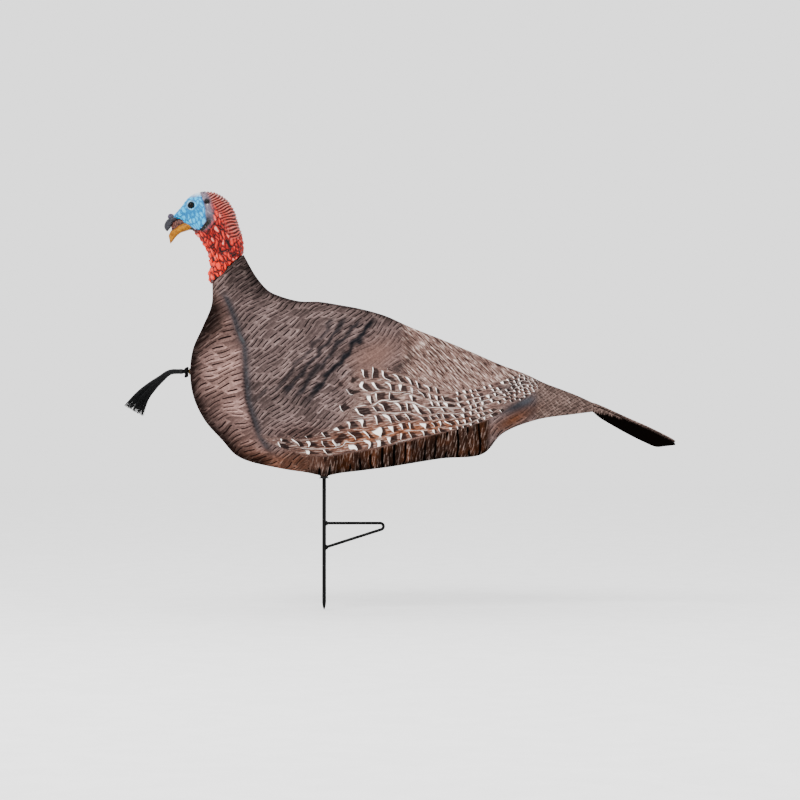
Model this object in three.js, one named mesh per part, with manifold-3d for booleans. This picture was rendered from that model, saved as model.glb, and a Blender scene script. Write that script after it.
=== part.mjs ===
// A life-size turkey decoy of the young-tom kind, on its ground stake.
//
// A printed stretch-fabric skin is drawn over two hollow foam halves. A foam core inside them holds
// a closed socket, and the socket turns on a nylon cap on the top of a steel rod. The rod goes into
// the ground as far as its step loop. A moulded head turns on a peg that stands square to the slanted
// neck opening, and a bristle beard hangs from an eyelet in the breast.
//
// Millimetres, +Z up. The bird faces -Y and is the same on both sides of X = 0. The origin is on the
// rod's axis, at the ground line.
import * as THREE from 'three';
import { LoftGeometry } from 'three/addons/geometries/LoftGeometry.js';
import { mergeVertices } from 'three/addons/utils/BufferGeometryUtils.js';
import Module from 'manifold-3d';

const wasm = await Module();
wasm.setup();

// ---- driving dimensions ------------------------------------------------------------------------

const GAP = 0.3; // between pieces that touch
const SKIN = 2.2; // the fabric and its backing
const FOAM = 10; // the foam wall on the body; it thins towards the neck and the tail
const FOAM_SHARE = 0.2; // foam wall as a share of the half width, where that is thinner
const RING_STEPS = 10; // steps round one side of a body section
const SQUARENESS = 2.25; // 2 is an ellipse

const ROD_RADIUS = 3.175; // quarter-inch bar
const ROD_TIP = -95;
const ROD_SHOULDER = -84;
const ROD_NOSE = { radius: 0.7, cheek: 2.3, cheekHeight: -89 }; // the blunted point
const ROD_TOP = 358;
const LOOP_RADIUS = 2.35;
const LOOP_TOP = 43;
const LOOP_LOW = 4.5;
const LOOP_REACH = 98;
const LOOP_BEND = 5.2; // radius of the bend's centre line
const CAP_SKIRT = 9; // how far the nylon cap reaches down the rod
const CAP_PLAY = 0.4; // between the cap and the socket's bore
const CAP_CHAMFER = 1.2;

const SOCKET_RADIUS = 8.5;
const SOCKET_BORE = 4.7; // passes the rod with its cap on
const SHANK_RADIUS = 6.2; // the belly bush, through skin and foam
const FLANGE_RADIUS = 7.8;
const FLANGE = { low: 114.7, thick: 1.2 };
const SOCKET_FOOT = 121.3;
const SOCKET_ROOF = 361.6; // underside of the closed end
const SOCKET_TOP = 366.6;
const CORE = { wide: 64, long: 70, bottom: 20, top: 420 }; // the foam core, before it is trimmed
const CORE_FROM = 6; // loft steps that the core lies between
const CORE_TO = 28;

const NECK_TILT = Math.atan2(50.4, 45.6); // the peg's lean forwards, square to the neck opening
const NECK_CENTRE = { y: -154.2, z: 450.2 };
const PEG_RADIUS = 6;
const PEG = { low: -26, head: 3, headRadius: 9, high: 18 }; // along the peg from the neck opening
const WASHER = { radius: 10, low: 14, high: 15.5 };
const PLUG_START = 0.004; // plugs: places along their lofts, just in from the openings
const NECK_PLUG_END = 0.03;
const HEAD_PLUG_END = 0.075;
const HEAD_WALL = 3;

const EYE = { x: 16.4, y: -211.4, z: 550.4, radius: 6.1 };
const EAR = { x: 22.5, y: -186, z: 557, radius: 4 };
const SNOOD = { radius: 4.3, length: 8, tilt: 0.5, y: -244.5, z: 532 };

const BEARD_ROOT = { y: -220.6, z: 285.6 }; // the knot's centre
const KNOT_RADIUS = 4.2;
const CORD_HOLE = 2.2;
const EYELET = { radius: 5.4, thick: 1.2, behind: 4.8 }; // behind: from the knot's centre to its front
const STOP = { radius: 7, low: -32, high: -30, stem: 1.8 }; // the disc and the cord inside the breast
const FERRULE = { mouth: 3.4, radius: 4.1, flare: 2, end: 11.1 };

// Body stations from the neck opening to the tail. Each is a slanted section between a point on the
// back and a point on the breast or belly: [back Y, back Z, front Y, front Z, half width].
const BODY = [
  [-128.5, 472.2, -178.7, 426.6, 24],
  [-109, 438, -180, 392, 31],
  [-90, 416, -195, 355, 44],
  [-70, 406, -210, 320, 62],
  [-39, 398, -214, 280, 80],
  [-7, 397, -208, 243, 92],
  [25, 392, -191, 208, 99],
  [57, 386, -163, 176, 103],
  [97, 375, -138, 150, 105],
  [137, 357, -79, 131, 105],
  [185, 338, 0, 116.5, 101],
  [233, 318, 89, 130, 94],
  [281, 297, 185, 146, 82],
  [321, 282, 254, 154, 68],
  [353, 267, 285, 186, 56],
  [377, 258, 339, 208, 46],
  [405, 247, 398, 217, 38],
  [429, 236, 429, 221, 34],
];
const OUT_OF_NECK = [0, -0.4, 0.44];
const OUT_OF_TAIL = [0, 0.5, -0.1];
const OUT_OF_HEAD = [0, 0.4, -0.44];
const BODY_STEPS = 2 * (BODY.length - 1); // nested layers share their loft steps, so they stay clear
const FOAM_STEPS = BODY_STEPS - 4; // the foam stops before the tail's cone
const FOAM_END = FOAM_STEPS / BODY_STEPS;
const SLACK = 0.8; // between the foam's inside and what fills it

// Head stations from the neck opening round to the base of the beak, in the same form.
const HEAD = [
  [-129.3, 473.7, -180.2, 428, 26],
  [-128.2, 483, -183.7, 438.4, 28],
  [-129, 494, -181.8, 456, 26],
  [-131.4, 505.6, -186.6, 477.6, 25],
  [-136.2, 518.4, -197, 495.2, 24],
  [-140.2, 532.8, -209.8, 510.4, 23.5],
  [-145.8, 547.2, -219.4, 518.4, 23],
  [-155.4, 560, -224.2, 522.4, 22.5],
  [-169.8, 569.6, -227.4, 525.6, 21.5],
  [-186.6, 573.4, -230.6, 528.8, 20],
  [-203.4, 569.6, -233.8, 529.6, 18],
  [-218.6, 558.4, -237, 528.8, 14],
  [-229.8, 546.4, -239.4, 528, 10.5],
  [-238.6, 537.6, -241.8, 527.2, 8],
];
const HEAD_STEPS = 20;

const UPPER_BEAK = [
  [-234, 536, -238, 527.5, 8],
  [-240, 532.8, -242.6, 526, 7.8],
  [-246.9, 528, -245.3, 522.4, 6.8],
  [-252.5, 523.5, -247.4, 519.2, 5.3],
  [-255, 518, -248.8, 515.2, 3.6],
  [-253.8, 512.3, -251, 510.7, 1.4],
];
const LOWER_BEAK = [
  [-214, 525, -214, 514, 9],
  [-221, 523.5, -221.5, 511, 8.8],
  [-228.4, 520, -230, 507.5, 7.8],
  [-237, 514, -237.8, 500.8, 6.2],
  [-244.2, 510.6, -242.9, 494, 4.2],
  [-248.3, 503.5, -246.3, 490.6, 1.8],
];

// Tail stations: [Y, edge height of the top face, height of the lining's centre line, half width].
const TAIL = [
  [431, 235.2, 221, 34],
  [441, 232, 211.5, 37],
  [460, 223.5, 200, 43],
  [485, 212, 186, 50],
  [510, 201, 173.5, 54],
  [531, 191, 165, 54],
  [545, 184, 166, 48],
  [555, 178.5, 167, 37],
  [560, 175.5, 167.8, 22],
];
const TAIL_STEPS = 14;
const TAIL_ACROSS = 8; // steps across the sheet
const STAY = 1.2; // thickness of the plastic stay
const PLY_GAP = 0.8; // between the tail's layers
const STAY_ROOT = [[398, 238, 228.5, 24], [415, 236, 225.5, 29]]; // the stay's start, inside the cone

// ---- geometry helpers --------------------------------------------------------------------------

const vec = (x, y, z) => new THREE.Vector3(x, y, z);

// A solid from a closed geometry.
function solid(geometry, matrix = new THREE.Matrix4()) {
  const bare = new THREE.BufferGeometry().copy(geometry).applyMatrix4(matrix);
  bare.deleteAttribute('normal');
  bare.deleteAttribute('uv');
  const merged = mergeVertices(bare, 1e-4);
  return new wasm.Manifold(new wasm.Mesh({
    numProp: 3,
    vertProperties: merged.getAttribute('position').array,
    triVerts: new Uint32Array(merged.getIndex().array),
  }));
}

// A geometry from a solid. A cut can leave a loose speck, so only its largest body is kept.
function geometryOf(manifold) {
  const bodies = manifold.decompose();
  bodies.sort((a, b) => b.volume() - a.volume());
  const mesh = bodies[0].getMesh();
  const geometry = new THREE.BufferGeometry();
  geometry.setAttribute('position', new THREE.BufferAttribute(mesh.vertProperties, 3));
  geometry.setIndex(new THREE.BufferAttribute(mesh.triVerts, 1));
  return geometry;
}

// A lathe about +Z. The profile is a list of [radius, height] that starts and ends on the axis.
function latheZ(profile, segments = 24) {
  const points = profile.map(([radius, height]) => new THREE.Vector2(radius, height));
  return new THREE.LatheGeometry(points, segments).rotateX(Math.PI / 2);
}

// A ring or tube about +Z, with its wall between two radii.
function ringZ(inner, outer, low, high, segments = 24) {
  return latheZ([[inner, low], [outer, low], [outer, high], [inner, high], [inner, low]], segments);
}

// The same as a solid cylinder.
function rodZ(radius, low, high, segments = 24) {
  return latheZ([[0, low], [radius, low], [radius, high], [0, high]], segments);
}

// Turns the +Z axis into the line of the neck peg, at the middle of the neck opening.
function neckFrame() {
  const turn = new THREE.Matrix4().makeRotationX(Math.PI / 2 - NECK_TILT);
  const move = new THREE.Matrix4().makeTranslation(0, NECK_CENTRE.y, NECK_CENTRE.z);
  return move.multiply(turn);
}

// A surface that runs through slanted oval stations, and can be drawn in by an inset.
// Its stations run towards +Y, or with forwards set, towards -Y.
class Loft {
  constructor(rows, squareness, forwards = false) {
    this.upper = new THREE.CatmullRomCurve3(rows.map(([y, z, , , width]) => vec(width, y, z)));
    this.lower = new THREE.CatmullRomCurve3(rows.map(([, , y, z]) => vec(0, y, z)));
    this.power = 2 / squareness;
    this.turn = forwards ? -1 : 1;
  }

  halfWidth(u) {
    return this.upper.getPoint(u).x;
  }

  // A point at an angle from the upper line: 0 is the upper line, PI the lower one.
  point(u, angle, inset) {
    const top = this.upper.getPoint(u);
    const bottom = this.lower.getPoint(u);
    const width = top.x - inset;
    top.setX(0);
    const middle = top.clone().add(bottom).multiplyScalar(0.5);
    const reach = top.clone().sub(middle);
    reach.setLength(reach.length() - inset);
    const up = Math.sign(Math.cos(angle)) * Math.abs(Math.cos(angle)) ** this.power;
    const out = Math.sign(Math.sin(angle)) * Math.abs(Math.sin(angle)) ** this.power;
    return middle.addScaledVector(reach, up).setX(width * out);
  }

  // A solid with whole oval sections between two places along the loft.
  whole(from, to, steps, inset, around = 2 * RING_STEPS) {
    const sections = [];
    for (let i = 0; i <= steps; i += 1) {
      const u = from + ((to - from) * i) / steps;
      const amount = typeof inset === 'function' ? inset(u) : inset;
      const section = [];
      for (let j = 0; j < around; j += 1) {
        section.push(this.point(u, (this.turn * 2 * Math.PI * j) / around, amount));
      }
      sections.push(section);
    }
    return new LoftGeometry(sections, { capStart: true, capEnd: true });
  }
}

// The wall between two insets of a loft, open at its start and, with a second move, at its end. A
// short length of the hollow, moved out past each open end, clears that end.
function shell(loft, to, steps, outer, inner, outOfStart, outOfEnd) {
  const pitch = to / steps;
  const hollowPart = (from, until, count) => solid(loft.whole(from, until, count, inner));
  let wall = solid(loft.whole(0, to, steps, outer));
  wall = wall.subtract(hollowPart(0, outOfEnd ? to : to - pitch, outOfEnd ? steps : steps - 1));
  wall = wall.subtract(hollowPart(0, pitch, 1).translate(outOfStart));
  return outOfEnd ? wall.subtract(hollowPart(to - pitch, to, 1).translate(outOfEnd)) : wall;
}

// One side of a solid, clear of the seam plane by half a gap.
function halfOf(whole, side) {
  const room = new THREE.BoxGeometry(200, 900, 600).translate(side * (100 + GAP / 2), 100, 300);
  return whole.intersect(solid(room));
}

const body = new Loft(BODY, SQUARENESS);
const head = new Loft(HEAD, 2, true);
const foamWall = (u) => Math.min(FOAM, FOAM_SHARE * body.halfWidth(u));
const foamOuter = () => SKIN + GAP;
const foamInner = (u) => SKIN + GAP + foamWall(u);
const hollow = (u) => foamInner(u) + SLACK;

// ---- materials ---------------------------------------------------------------------------------

const finish = (color, roughness, metalness = 0) => (
  () => new THREE.MeshStandardMaterial({ color, roughness, metalness })
);
const PRINT = finish(0x6b5a57, 0.85);
const LINING = finish(0x14100f, 0.9);
const FOAM_GREY = finish(0x4a4a4c, 0.95);
const ROD_BLACK = finish(0x0c0c0d, 0.45, 0.6);
const NYLON = finish(0xd8d4c8, 0.5);
const MOULDED = finish(0x2b2b2d, 0.6);
const HEAD_RED = finish(0xc8322a, 0.5);
const BEAK_DARK = finish(0x3a3a40, 0.4);
const BEAK_OCHRE = finish(0xd29a30, 0.4);
const SNOOD_GREY = finish(0x7a6a80, 0.5);
const EYE_BLACK = finish(0x080808, 0.08);
const BRISTLE = finish(0x0b0b0d, 0.4);
const BRASS = finish(0x8a6f3c, 0.4, 0.9);
const ZINC = finish(0xb0b3b6, 0.35, 1);

const decoy = new THREE.Group();

function add(name, geometry, material) {
  const mesh = new THREE.Mesh(geometry, material());
  mesh.name = name;
  decoy.add(mesh);
}

// ---- stake -------------------------------------------------------------------------------------

// The pointed rod. Its top ends inside the body.
function stakeRod() {
  const { radius, cheek, cheekHeight } = ROD_NOSE;
  const point = [[0, ROD_TIP], [radius, ROD_TIP], [cheek, cheekHeight], [ROD_RADIUS, ROD_SHOULDER]];
  return latheZ([...point, [ROD_RADIUS, ROD_TOP], [0, ROD_TOP]], 20);
}

// The foot loop: a level upper leg, a round bend and a lower leg that runs back down to the rod.
function stepLoop() {
  const bendY = LOOP_REACH - LOOP_RADIUS - LOOP_BEND;
  const bendZ = LOOP_TOP - LOOP_BEND;
  const slope = Math.atan2(bendZ - LOOP_BEND - LOOP_LOW, bendY);
  const legSteps = 6;
  const bendSteps = 7;
  const points = [];
  for (let i = 0; i <= legSteps; i += 1) {
    points.push(vec(0, (bendY * i) / legSteps, LOOP_TOP));
  }
  const turn = Math.PI - slope;
  for (let i = 1; i <= bendSteps; i += 1) {
    const angle = (turn * i) / bendSteps;
    points.push(vec(0, bendY + LOOP_BEND * Math.sin(angle), bendZ + LOOP_BEND * Math.cos(angle)));
  }
  const last = points[points.length - 1];
  for (let i = 1; i <= legSteps; i += 1) {
    const share = i / legSteps;
    points.push(vec(0, last.y * (1 - share), last.z + (LOOP_LOW - last.z) * share));
  }
  const section = new THREE.Shape().absarc(0, 0, LOOP_RADIUS, 0, 2 * Math.PI);
  const path = new THREE.CatmullRomCurve3(points, false, 'centripetal');
  const bar = new THREE.ExtrudeGeometry(section, { steps: 34, curveSegments: 4, extrudePath: path });
  const rodRoom = rodZ(ROD_RADIUS + GAP, LOOP_LOW - 20, LOOP_TOP + 20);
  return geometryOf(solid(bar).subtract(solid(rodRoom)));
}

// The nylon thimble on the rod's top, which the socket's roof rests and turns on.
function swivelCap() {
  const skirt = ROD_TOP - CAP_SKIRT;
  const wall = SOCKET_BORE - CAP_PLAY;
  const bore = ROD_RADIUS + GAP;
  const roof = SOCKET_ROOF - GAP;
  return latheZ([
    [0, ROD_TOP + GAP], [bore, ROD_TOP + GAP], [bore, skirt], [wall, skirt],
    [wall, roof - CAP_CHAMFER], [wall - CAP_CHAMFER, roof], [0, roof],
  ], 20);
}

// ---- body --------------------------------------------------------------------------------------

// Holes through the body's wall: for the belly bush, the socket and the beard's cord.
function wallHoles(bushRadius) {
  const belly = solid(rodZ(bushRadius, 100, 150));
  const breast = new THREE.Matrix4().makeTranslation(0, 0, BEARD_ROOT.z);
  breast.multiply(new THREE.Matrix4().makeRotationX(Math.PI / 2));
  return belly.add(solid(rodZ(CORD_HOLE, 150, 240, 12), breast));
}

function skinHalf(side) {
  const wall = shell(body, 1, BODY_STEPS, 0, SKIN, OUT_OF_NECK, OUT_OF_TAIL);
  return geometryOf(halfOf(wall, side).subtract(wallHoles(SHANK_RADIUS + GAP)));
}

function foamHalf(side) {
  const wall = shell(body, FOAM_END, FOAM_STEPS, foamOuter, foamInner, OUT_OF_NECK, OUT_OF_TAIL);
  return geometryOf(halfOf(wall, side).subtract(wallHoles(SOCKET_RADIUS + GAP)));
}

// The foam block across the hollow, between belly and back, with the socket bonded in it.
function foamCore() {
  const { wide, long, bottom, top } = CORE;
  const steps = CORE_TO - CORE_FROM;
  const room = solid(body.whole(CORE_FROM / BODY_STEPS, CORE_TO / BODY_STEPS, steps, hollow));
  const box = new THREE.BoxGeometry(wide, long, top - bottom).translate(0, 0, (top + bottom) / 2);
  const block = solid(box);
  const bore = solid(rodZ(SOCKET_RADIUS + GAP, bottom, SOCKET_TOP + GAP));
  return geometryOf(room.intersect(block).subtract(bore));
}

// A tube with a closed top.
function stakeSocket() {
  return latheZ([
    [SOCKET_BORE, SOCKET_FOOT], [SOCKET_RADIUS, SOCKET_FOOT], [SOCKET_RADIUS, SOCKET_TOP],
    [0, SOCKET_TOP], [0, SOCKET_ROOF], [SOCKET_BORE, SOCKET_ROOF], [SOCKET_BORE, SOCKET_FOOT],
  ]);
}

// The flanged bush that carries the belly's fabric round the rod.
function bellyBush() {
  const { low, thick } = FLANGE;
  const high = SOCKET_FOOT - GAP;
  return latheZ([
    [SOCKET_BORE, low], [FLANGE_RADIUS, low], [FLANGE_RADIUS, low + thick],
    [SHANK_RADIUS, low + thick], [SHANK_RADIUS, high], [SOCKET_BORE, high], [SOCKET_BORE, low],
  ], 20);
}

// ---- tail --------------------------------------------------------------------------------------

// The height of the tail's top face: a trough, low in the middle and high at its edges.
function troughHeight([, edge, lining, width], x) {
  const middle = lining + 2 * SKIN + 2 * PLY_GAP + STAY;
  return middle + (edge - middle) * (x / width) ** 2;
}

// The rows of the tail's outline at even steps of its spline.
function tailRows() {
  const line = new THREE.CatmullRomCurve3(TAIL.map(([y, edge, lining]) => vec(y, edge, lining)));
  const widths = new THREE.CatmullRomCurve3(TAIL.map(([, , , width], i) => vec(i, width, 0)));
  const rows = [];
  for (let i = 0; i <= TAIL_STEPS; i += 1) {
    const at = line.getPoint(i / TAIL_STEPS);
    rows.push([at.x, at.y, at.z, widths.getPoint(i / TAIL_STEPS).y]);
  }
  return rows;
}

// One layer of the tail, between two depths below the top face. It leaves out a number of the
// outermost strips on each side.
function tailLayer(rows, top, bottom, skip) {
  const sections = rows.map((row) => {
    const upper = [];
    const lower = [];
    for (let j = skip; j <= TAIL_ACROSS - skip; j += 1) {
      const x = row[3] * (1 - (2 * j) / TAIL_ACROSS);
      const height = troughHeight(row, x);
      upper.push(vec(x, row[0], height - top));
      lower.push(vec(x, row[0], height - bottom));
    }
    return lower.concat(upper.reverse());
  });
  return new LoftGeometry(sections, { capStart: true, capEnd: true });
}

// ---- neck and head -----------------------------------------------------------------------------

// The plug bonded into the foam's neck.
function neckPlug() {
  const plug = solid(body.whole(PLUG_START, NECK_PLUG_END, 2, hollow));
  return geometryOf(plug.subtract(solid(rodZ(PEG_RADIUS + GAP, -60, 40), neckFrame())));
}

// The headed pin through both plugs.
function neckPeg() {
  const shoulder = PEG.low + PEG.head;
  return latheZ([
    [0, PEG.low], [PEG.headRadius, PEG.low], [PEG.headRadius, shoulder],
    [PEG_RADIUS, shoulder], [PEG_RADIUS, PEG.high], [0, PEG.high],
  ]).applyMatrix4(neckFrame());
}

// The washer that keeps the head on the peg.
function pegWasher() {
  return ringZ(PEG_RADIUS + GAP, WASHER.radius, WASHER.low, WASHER.high).applyMatrix4(neckFrame());
}

// The plug bonded into the head's open end. It turns on the peg.
function headPlug() {
  const plug = solid(head.whole(PLUG_START, HEAD_PLUG_END, 3, HEAD_WALL + SLACK));
  return geometryOf(plug.subtract(solid(rodZ(PEG_RADIUS + GAP, -60, 60), neckFrame())));
}

function headShell() {
  let wall = shell(head, 1, HEAD_STEPS, 0, HEAD_WALL, OUT_OF_HEAD);
  for (const side of [-1, 1]) {
    wall = wall.subtract(solid(new THREE.SphereGeometry(EYE.radius + GAP, 12, 8)
      .translate(side * EYE.x, EYE.y, EYE.z)));
    wall = wall.subtract(solid(new THREE.SphereGeometry(EAR.radius, 8, 6)
      .translate(side * EAR.x, EAR.y, EAR.z)));
  }
  return geometryOf(wall);
}

// The head's outer form, grown by a gap, to cut what is set against it.
const headForm = () => solid(head.whole(0, 1, HEAD_STEPS, -GAP));

function beak(rows) {
  return solid(new Loft(rows, 2, true).whole(0, 1, 8, 0, 12)).subtract(headForm());
}

// The short fleshy stub on the beak's root.
function snood() {
  const stub = new THREE.CapsuleGeometry(SNOOD.radius, SNOOD.length, 4, 10);
  stub.rotateX(Math.PI / 2 - SNOOD.tilt);
  stub.translate(0, SNOOD.y, SNOOD.z);
  const beakForm = solid(new Loft(UPPER_BEAK, 2, true).whole(0, 1, 8, -GAP, 12));
  return geometryOf(solid(stub).subtract(headForm()).subtract(beakForm));
}

function eye(side) {
  return new THREE.SphereGeometry(EYE.radius, 12, 8).translate(side * EYE.x, EYE.y, EYE.z);
}

// ---- beard -------------------------------------------------------------------------------------

// Stations down the bristle bundle: [Y, Z, half depth in the bundle's plane, half width].
const BRISTLE_LINE = [
  [-233, 285.6, 3.8, 4],
  [-246.6, 284.2, 4.2, 4.4],
  [-261, 273.5, 5.2, 5],
  [-276, 261.5, 7.5, 5.6],
  [-291.4, 246, 11, 6.4],
  [-304.5, 222.5, 17.5, 7],
];

function beardBristles() {
  const line = new THREE.CatmullRomCurve3(BRISTLE_LINE.map(([y, z]) => vec(0, y, z)));
  const sizes = new THREE.CatmullRomCurve3(BRISTLE_LINE.map(([, , deep, wide], i) => vec(i, deep, wide)));
  const steps = 12;
  const sections = [];
  for (let i = 0; i <= steps; i += 1) {
    const centre = line.getPoint(i / steps);
    const across = line.getTangent(i / steps).cross(vec(1, 0, 0)).normalize();
    const { y: deep, z: wide } = sizes.getPoint(i / steps);
    const section = [];
    for (let j = 0; j < 14; j += 1) {
      const angle = (-2 * Math.PI * j) / 14;
      const point = centre.clone().addScaledVector(across, deep * Math.cos(angle));
      section.push(point.setX(wide * Math.sin(angle)));
    }
    sections.push(section);
  }
  return new LoftGeometry(sections, { capStart: true, capEnd: true });
}

// A turned piece about a line that runs forwards through the beard's root. Heights count forwards.
function latheForward(profile, segments = 16) {
  return latheZ(profile, segments).rotateX(Math.PI / 2).translate(0, BEARD_ROOT.y, BEARD_ROOT.z);
}

// The metal eyelet in the breast's seam.
function breastEyelet() {
  const front = BEARD_ROOT.y + EYELET.behind;
  const ring = ringZ(CORD_HOLE, EYELET.radius, -front - EYELET.thick, -front, 16);
  return ring.rotateX(Math.PI / 2).translate(0, 0, BEARD_ROOT.z);
}

// The cord's tail through the eyelet, with the disc that stops it inside.
function beardAnchor() {
  const end = -KNOT_RADIUS - GAP;
  const { radius, low, high, stem } = STOP;
  return latheForward([[0, low], [radius, low], [radius, high], [stem, high], [stem, end], [0, end]]);
}

// The tied knot in front of the eyelet. The beard swings on it.
function beardKnot() {
  return new THREE.SphereGeometry(KNOT_RADIUS, 14, 10).translate(0, BEARD_ROOT.y, BEARD_ROOT.z);
}

// The crimped sleeve that holds the bristles' roots.
function beardFerrule() {
  const near = KNOT_RADIUS + GAP;
  const { mouth, radius, flare, end } = FERRULE;
  return latheForward([[0, near], [mouth, near], [radius, near + flare], [radius, end], [0, end]]);
}

// ---- assembly ----------------------------------------------------------------------------------

add('stake_rod', stakeRod(), ROD_BLACK);
add('step_loop', stepLoop(), ROD_BLACK);
add('swivel_cap', swivelCap(), NYLON);

for (const [name, side] of [['left', 1], ['right', -1]]) {
  add(`skin_${name}`, skinHalf(side), PRINT);
  add(`foam_${name}`, foamHalf(side), FOAM_GREY);
  add(`eye_${name}`, eye(side), EYE_BLACK);
}
add('foam_core', foamCore(), FOAM_GREY);
add('stake_socket', stakeSocket(), MOULDED);
add('belly_bush', bellyBush(), MOULDED);

const tail = tailRows();
const stayTop = SKIN + PLY_GAP;
const liningTop = stayTop + STAY + PLY_GAP;
add('tail_top', tailLayer(tail, 0, SKIN, 0), PRINT);
add('tail_stay', tailLayer([...STAY_ROOT, ...tail], stayTop, stayTop + STAY, 1), MOULDED);
add('tail_lining', tailLayer(tail, liningTop, liningTop + SKIN, 0), LINING);

add('neck_plug', neckPlug(), MOULDED);
add('neck_peg', neckPeg(), NYLON);
add('peg_washer', pegWasher(), ZINC);
add('head_plug', headPlug(), MOULDED);
add('head_shell', headShell(), HEAD_RED);
add('upper_beak', geometryOf(beak(UPPER_BEAK)), BEAK_DARK);
add('lower_beak', geometryOf(beak(LOWER_BEAK)), BEAK_OCHRE);
add('snood', snood(), SNOOD_GREY);

add('breast_eyelet', breastEyelet(), BRASS);
add('beard_anchor', beardAnchor(), MOULDED);
add('beard_knot', beardKnot(), LINING);
add('beard_ferrule', beardFerrule(), BRISTLE);
add('beard_bristles', beardBristles(), BRISTLE);

export default decoy;
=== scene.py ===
"""The looks of a life-size young tom turkey decoy on its ground stake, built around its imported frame."""

import logging
import math
from dataclasses import dataclass, field
from enum import Enum

import bmesh
import bpy
import numpy as np
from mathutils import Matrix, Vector
from mathutils.kdtree import KDTree


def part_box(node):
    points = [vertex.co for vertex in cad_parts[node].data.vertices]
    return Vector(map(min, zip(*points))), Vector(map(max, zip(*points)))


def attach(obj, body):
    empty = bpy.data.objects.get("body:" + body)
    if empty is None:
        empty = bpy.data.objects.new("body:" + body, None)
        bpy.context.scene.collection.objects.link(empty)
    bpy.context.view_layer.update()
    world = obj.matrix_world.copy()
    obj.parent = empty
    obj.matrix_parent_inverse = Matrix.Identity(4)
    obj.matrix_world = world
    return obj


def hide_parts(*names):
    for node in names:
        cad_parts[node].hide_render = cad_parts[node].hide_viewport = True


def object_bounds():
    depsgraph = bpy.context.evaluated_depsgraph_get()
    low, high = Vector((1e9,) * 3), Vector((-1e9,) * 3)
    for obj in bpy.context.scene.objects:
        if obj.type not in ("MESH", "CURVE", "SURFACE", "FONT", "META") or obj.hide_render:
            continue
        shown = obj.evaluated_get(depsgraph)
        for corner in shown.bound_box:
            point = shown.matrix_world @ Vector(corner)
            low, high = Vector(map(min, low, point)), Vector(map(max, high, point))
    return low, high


LOG = logging.getLogger("decoy")
MM = 0.001
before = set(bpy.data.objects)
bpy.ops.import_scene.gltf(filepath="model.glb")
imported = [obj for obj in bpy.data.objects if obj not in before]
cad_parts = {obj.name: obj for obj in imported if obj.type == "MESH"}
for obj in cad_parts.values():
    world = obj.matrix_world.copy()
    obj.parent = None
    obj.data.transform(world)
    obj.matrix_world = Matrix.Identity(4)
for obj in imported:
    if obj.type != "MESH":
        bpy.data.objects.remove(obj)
CAD_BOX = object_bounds()


# ---- small helpers -----------------------------------------------------------------------------


def linear(code: str) -> tuple[float, float, float]:
    """Turn an sRGB hex colour into linear light.

    Args:
        code: six hex digits, without a hash.

    Returns:
        Red, green and blue in linear light.
    """
    shares = [int(code[i:i + 2], 16) / 255 for i in (0, 2, 4)]
    return tuple(c / 12.92 if c <= 0.04045 else ((c + 0.055) / 1.055) ** 2.4 for c in shares)


def albedo(code: str, level: float = 0.5) -> tuple[float, float, float]:
    """Turn a colour as it looks under the studio's strong light into the paint's own share of light.

    Args:
        code: six hex digits, without a hash.
        level: the share that the light leaves to the paint.

    Returns:
        Red, green and blue in linear light.
    """
    return tuple(c * level for c in linear(code))


def put(tree: bpy.types.NodeTree, kind: str, links: dict | None = None, **settings: object) -> bpy.types.Node:
    """Add a node with its settings and links.

    Args:
        tree: the tree it goes in.
        kind: the node's type.
        links: its inputs, each a socket to link or a value to set.
        settings: its properties.

    Returns:
        The new node.
    """
    made = tree.nodes.new(kind)
    for name, value in settings.items():
        setattr(made, name, value)
    for key, source in (links or {}).items():
        if isinstance(source, bpy.types.NodeSocket):
            tree.links.new(source, made.inputs[key])
        else:
            made.inputs[key].default_value = source
    return made


def fresh_material(name: str) -> tuple[bpy.types.Material, bpy.types.NodeTree, bpy.types.Node]:
    """Start a material.

    Args:
        name: the finish's name.

    Returns:
        The material, its tree and its shader.
    """
    material = bpy.data.materials.new(name)
    material.use_nodes = True
    tree = material.node_tree
    return material, tree, tree.nodes["Principled BSDF"]


def smooth(low: float, high: float, value: np.ndarray) -> np.ndarray:
    """A smooth step. The limits may come in either order.

    Args:
        low: where it is 0.
        high: where it is 1.
        value: the values to step.

    Returns:
        The step at each value.
    """
    share = np.clip((value - low) / (high - low), 0, 1)
    return share * share * (3 - 2 * share)


def mesh_piece(name: str, points: np.ndarray, faces: list, material: bpy.types.Material) -> bpy.types.Object:
    """Make an object from points and faces.

    Args:
        name: the piece's name.
        points: an array of points, in metres.
        faces: lists of point numbers.
        material: its finish.

    Returns:
        The object, shaded smooth.
    """
    mesh = bpy.data.meshes.new(name)
    mesh.from_pydata([tuple(p) for p in points], [], faces)
    mesh.validate()
    mesh.update()
    mesh.shade_smooth()
    mesh.materials.append(material)
    made = bpy.data.objects.new(name, mesh)
    bpy.context.scene.collection.objects.link(made)
    return made


def grid_faces(rows: int, columns: int, wrap: bool, flip: bool) -> list[tuple[int, ...]]:
    """Faces over a grid of points.

    Args:
        rows: number of rows.
        columns: number of points in a row.
        wrap: whether a row closes on itself.
        flip: whether to turn the faces over.

    Returns:
        Quads as tuples of point numbers.
    """
    faces = []
    for i in range(rows - 1):
        for j in range(columns if wrap else columns - 1):
            k = (j + 1) % columns
            quad = (i * columns + j, i * columns + k, (i + 1) * columns + k, (i + 1) * columns + j)
            faces.append(quad[::-1] if flip else quad)
    return faces


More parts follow.
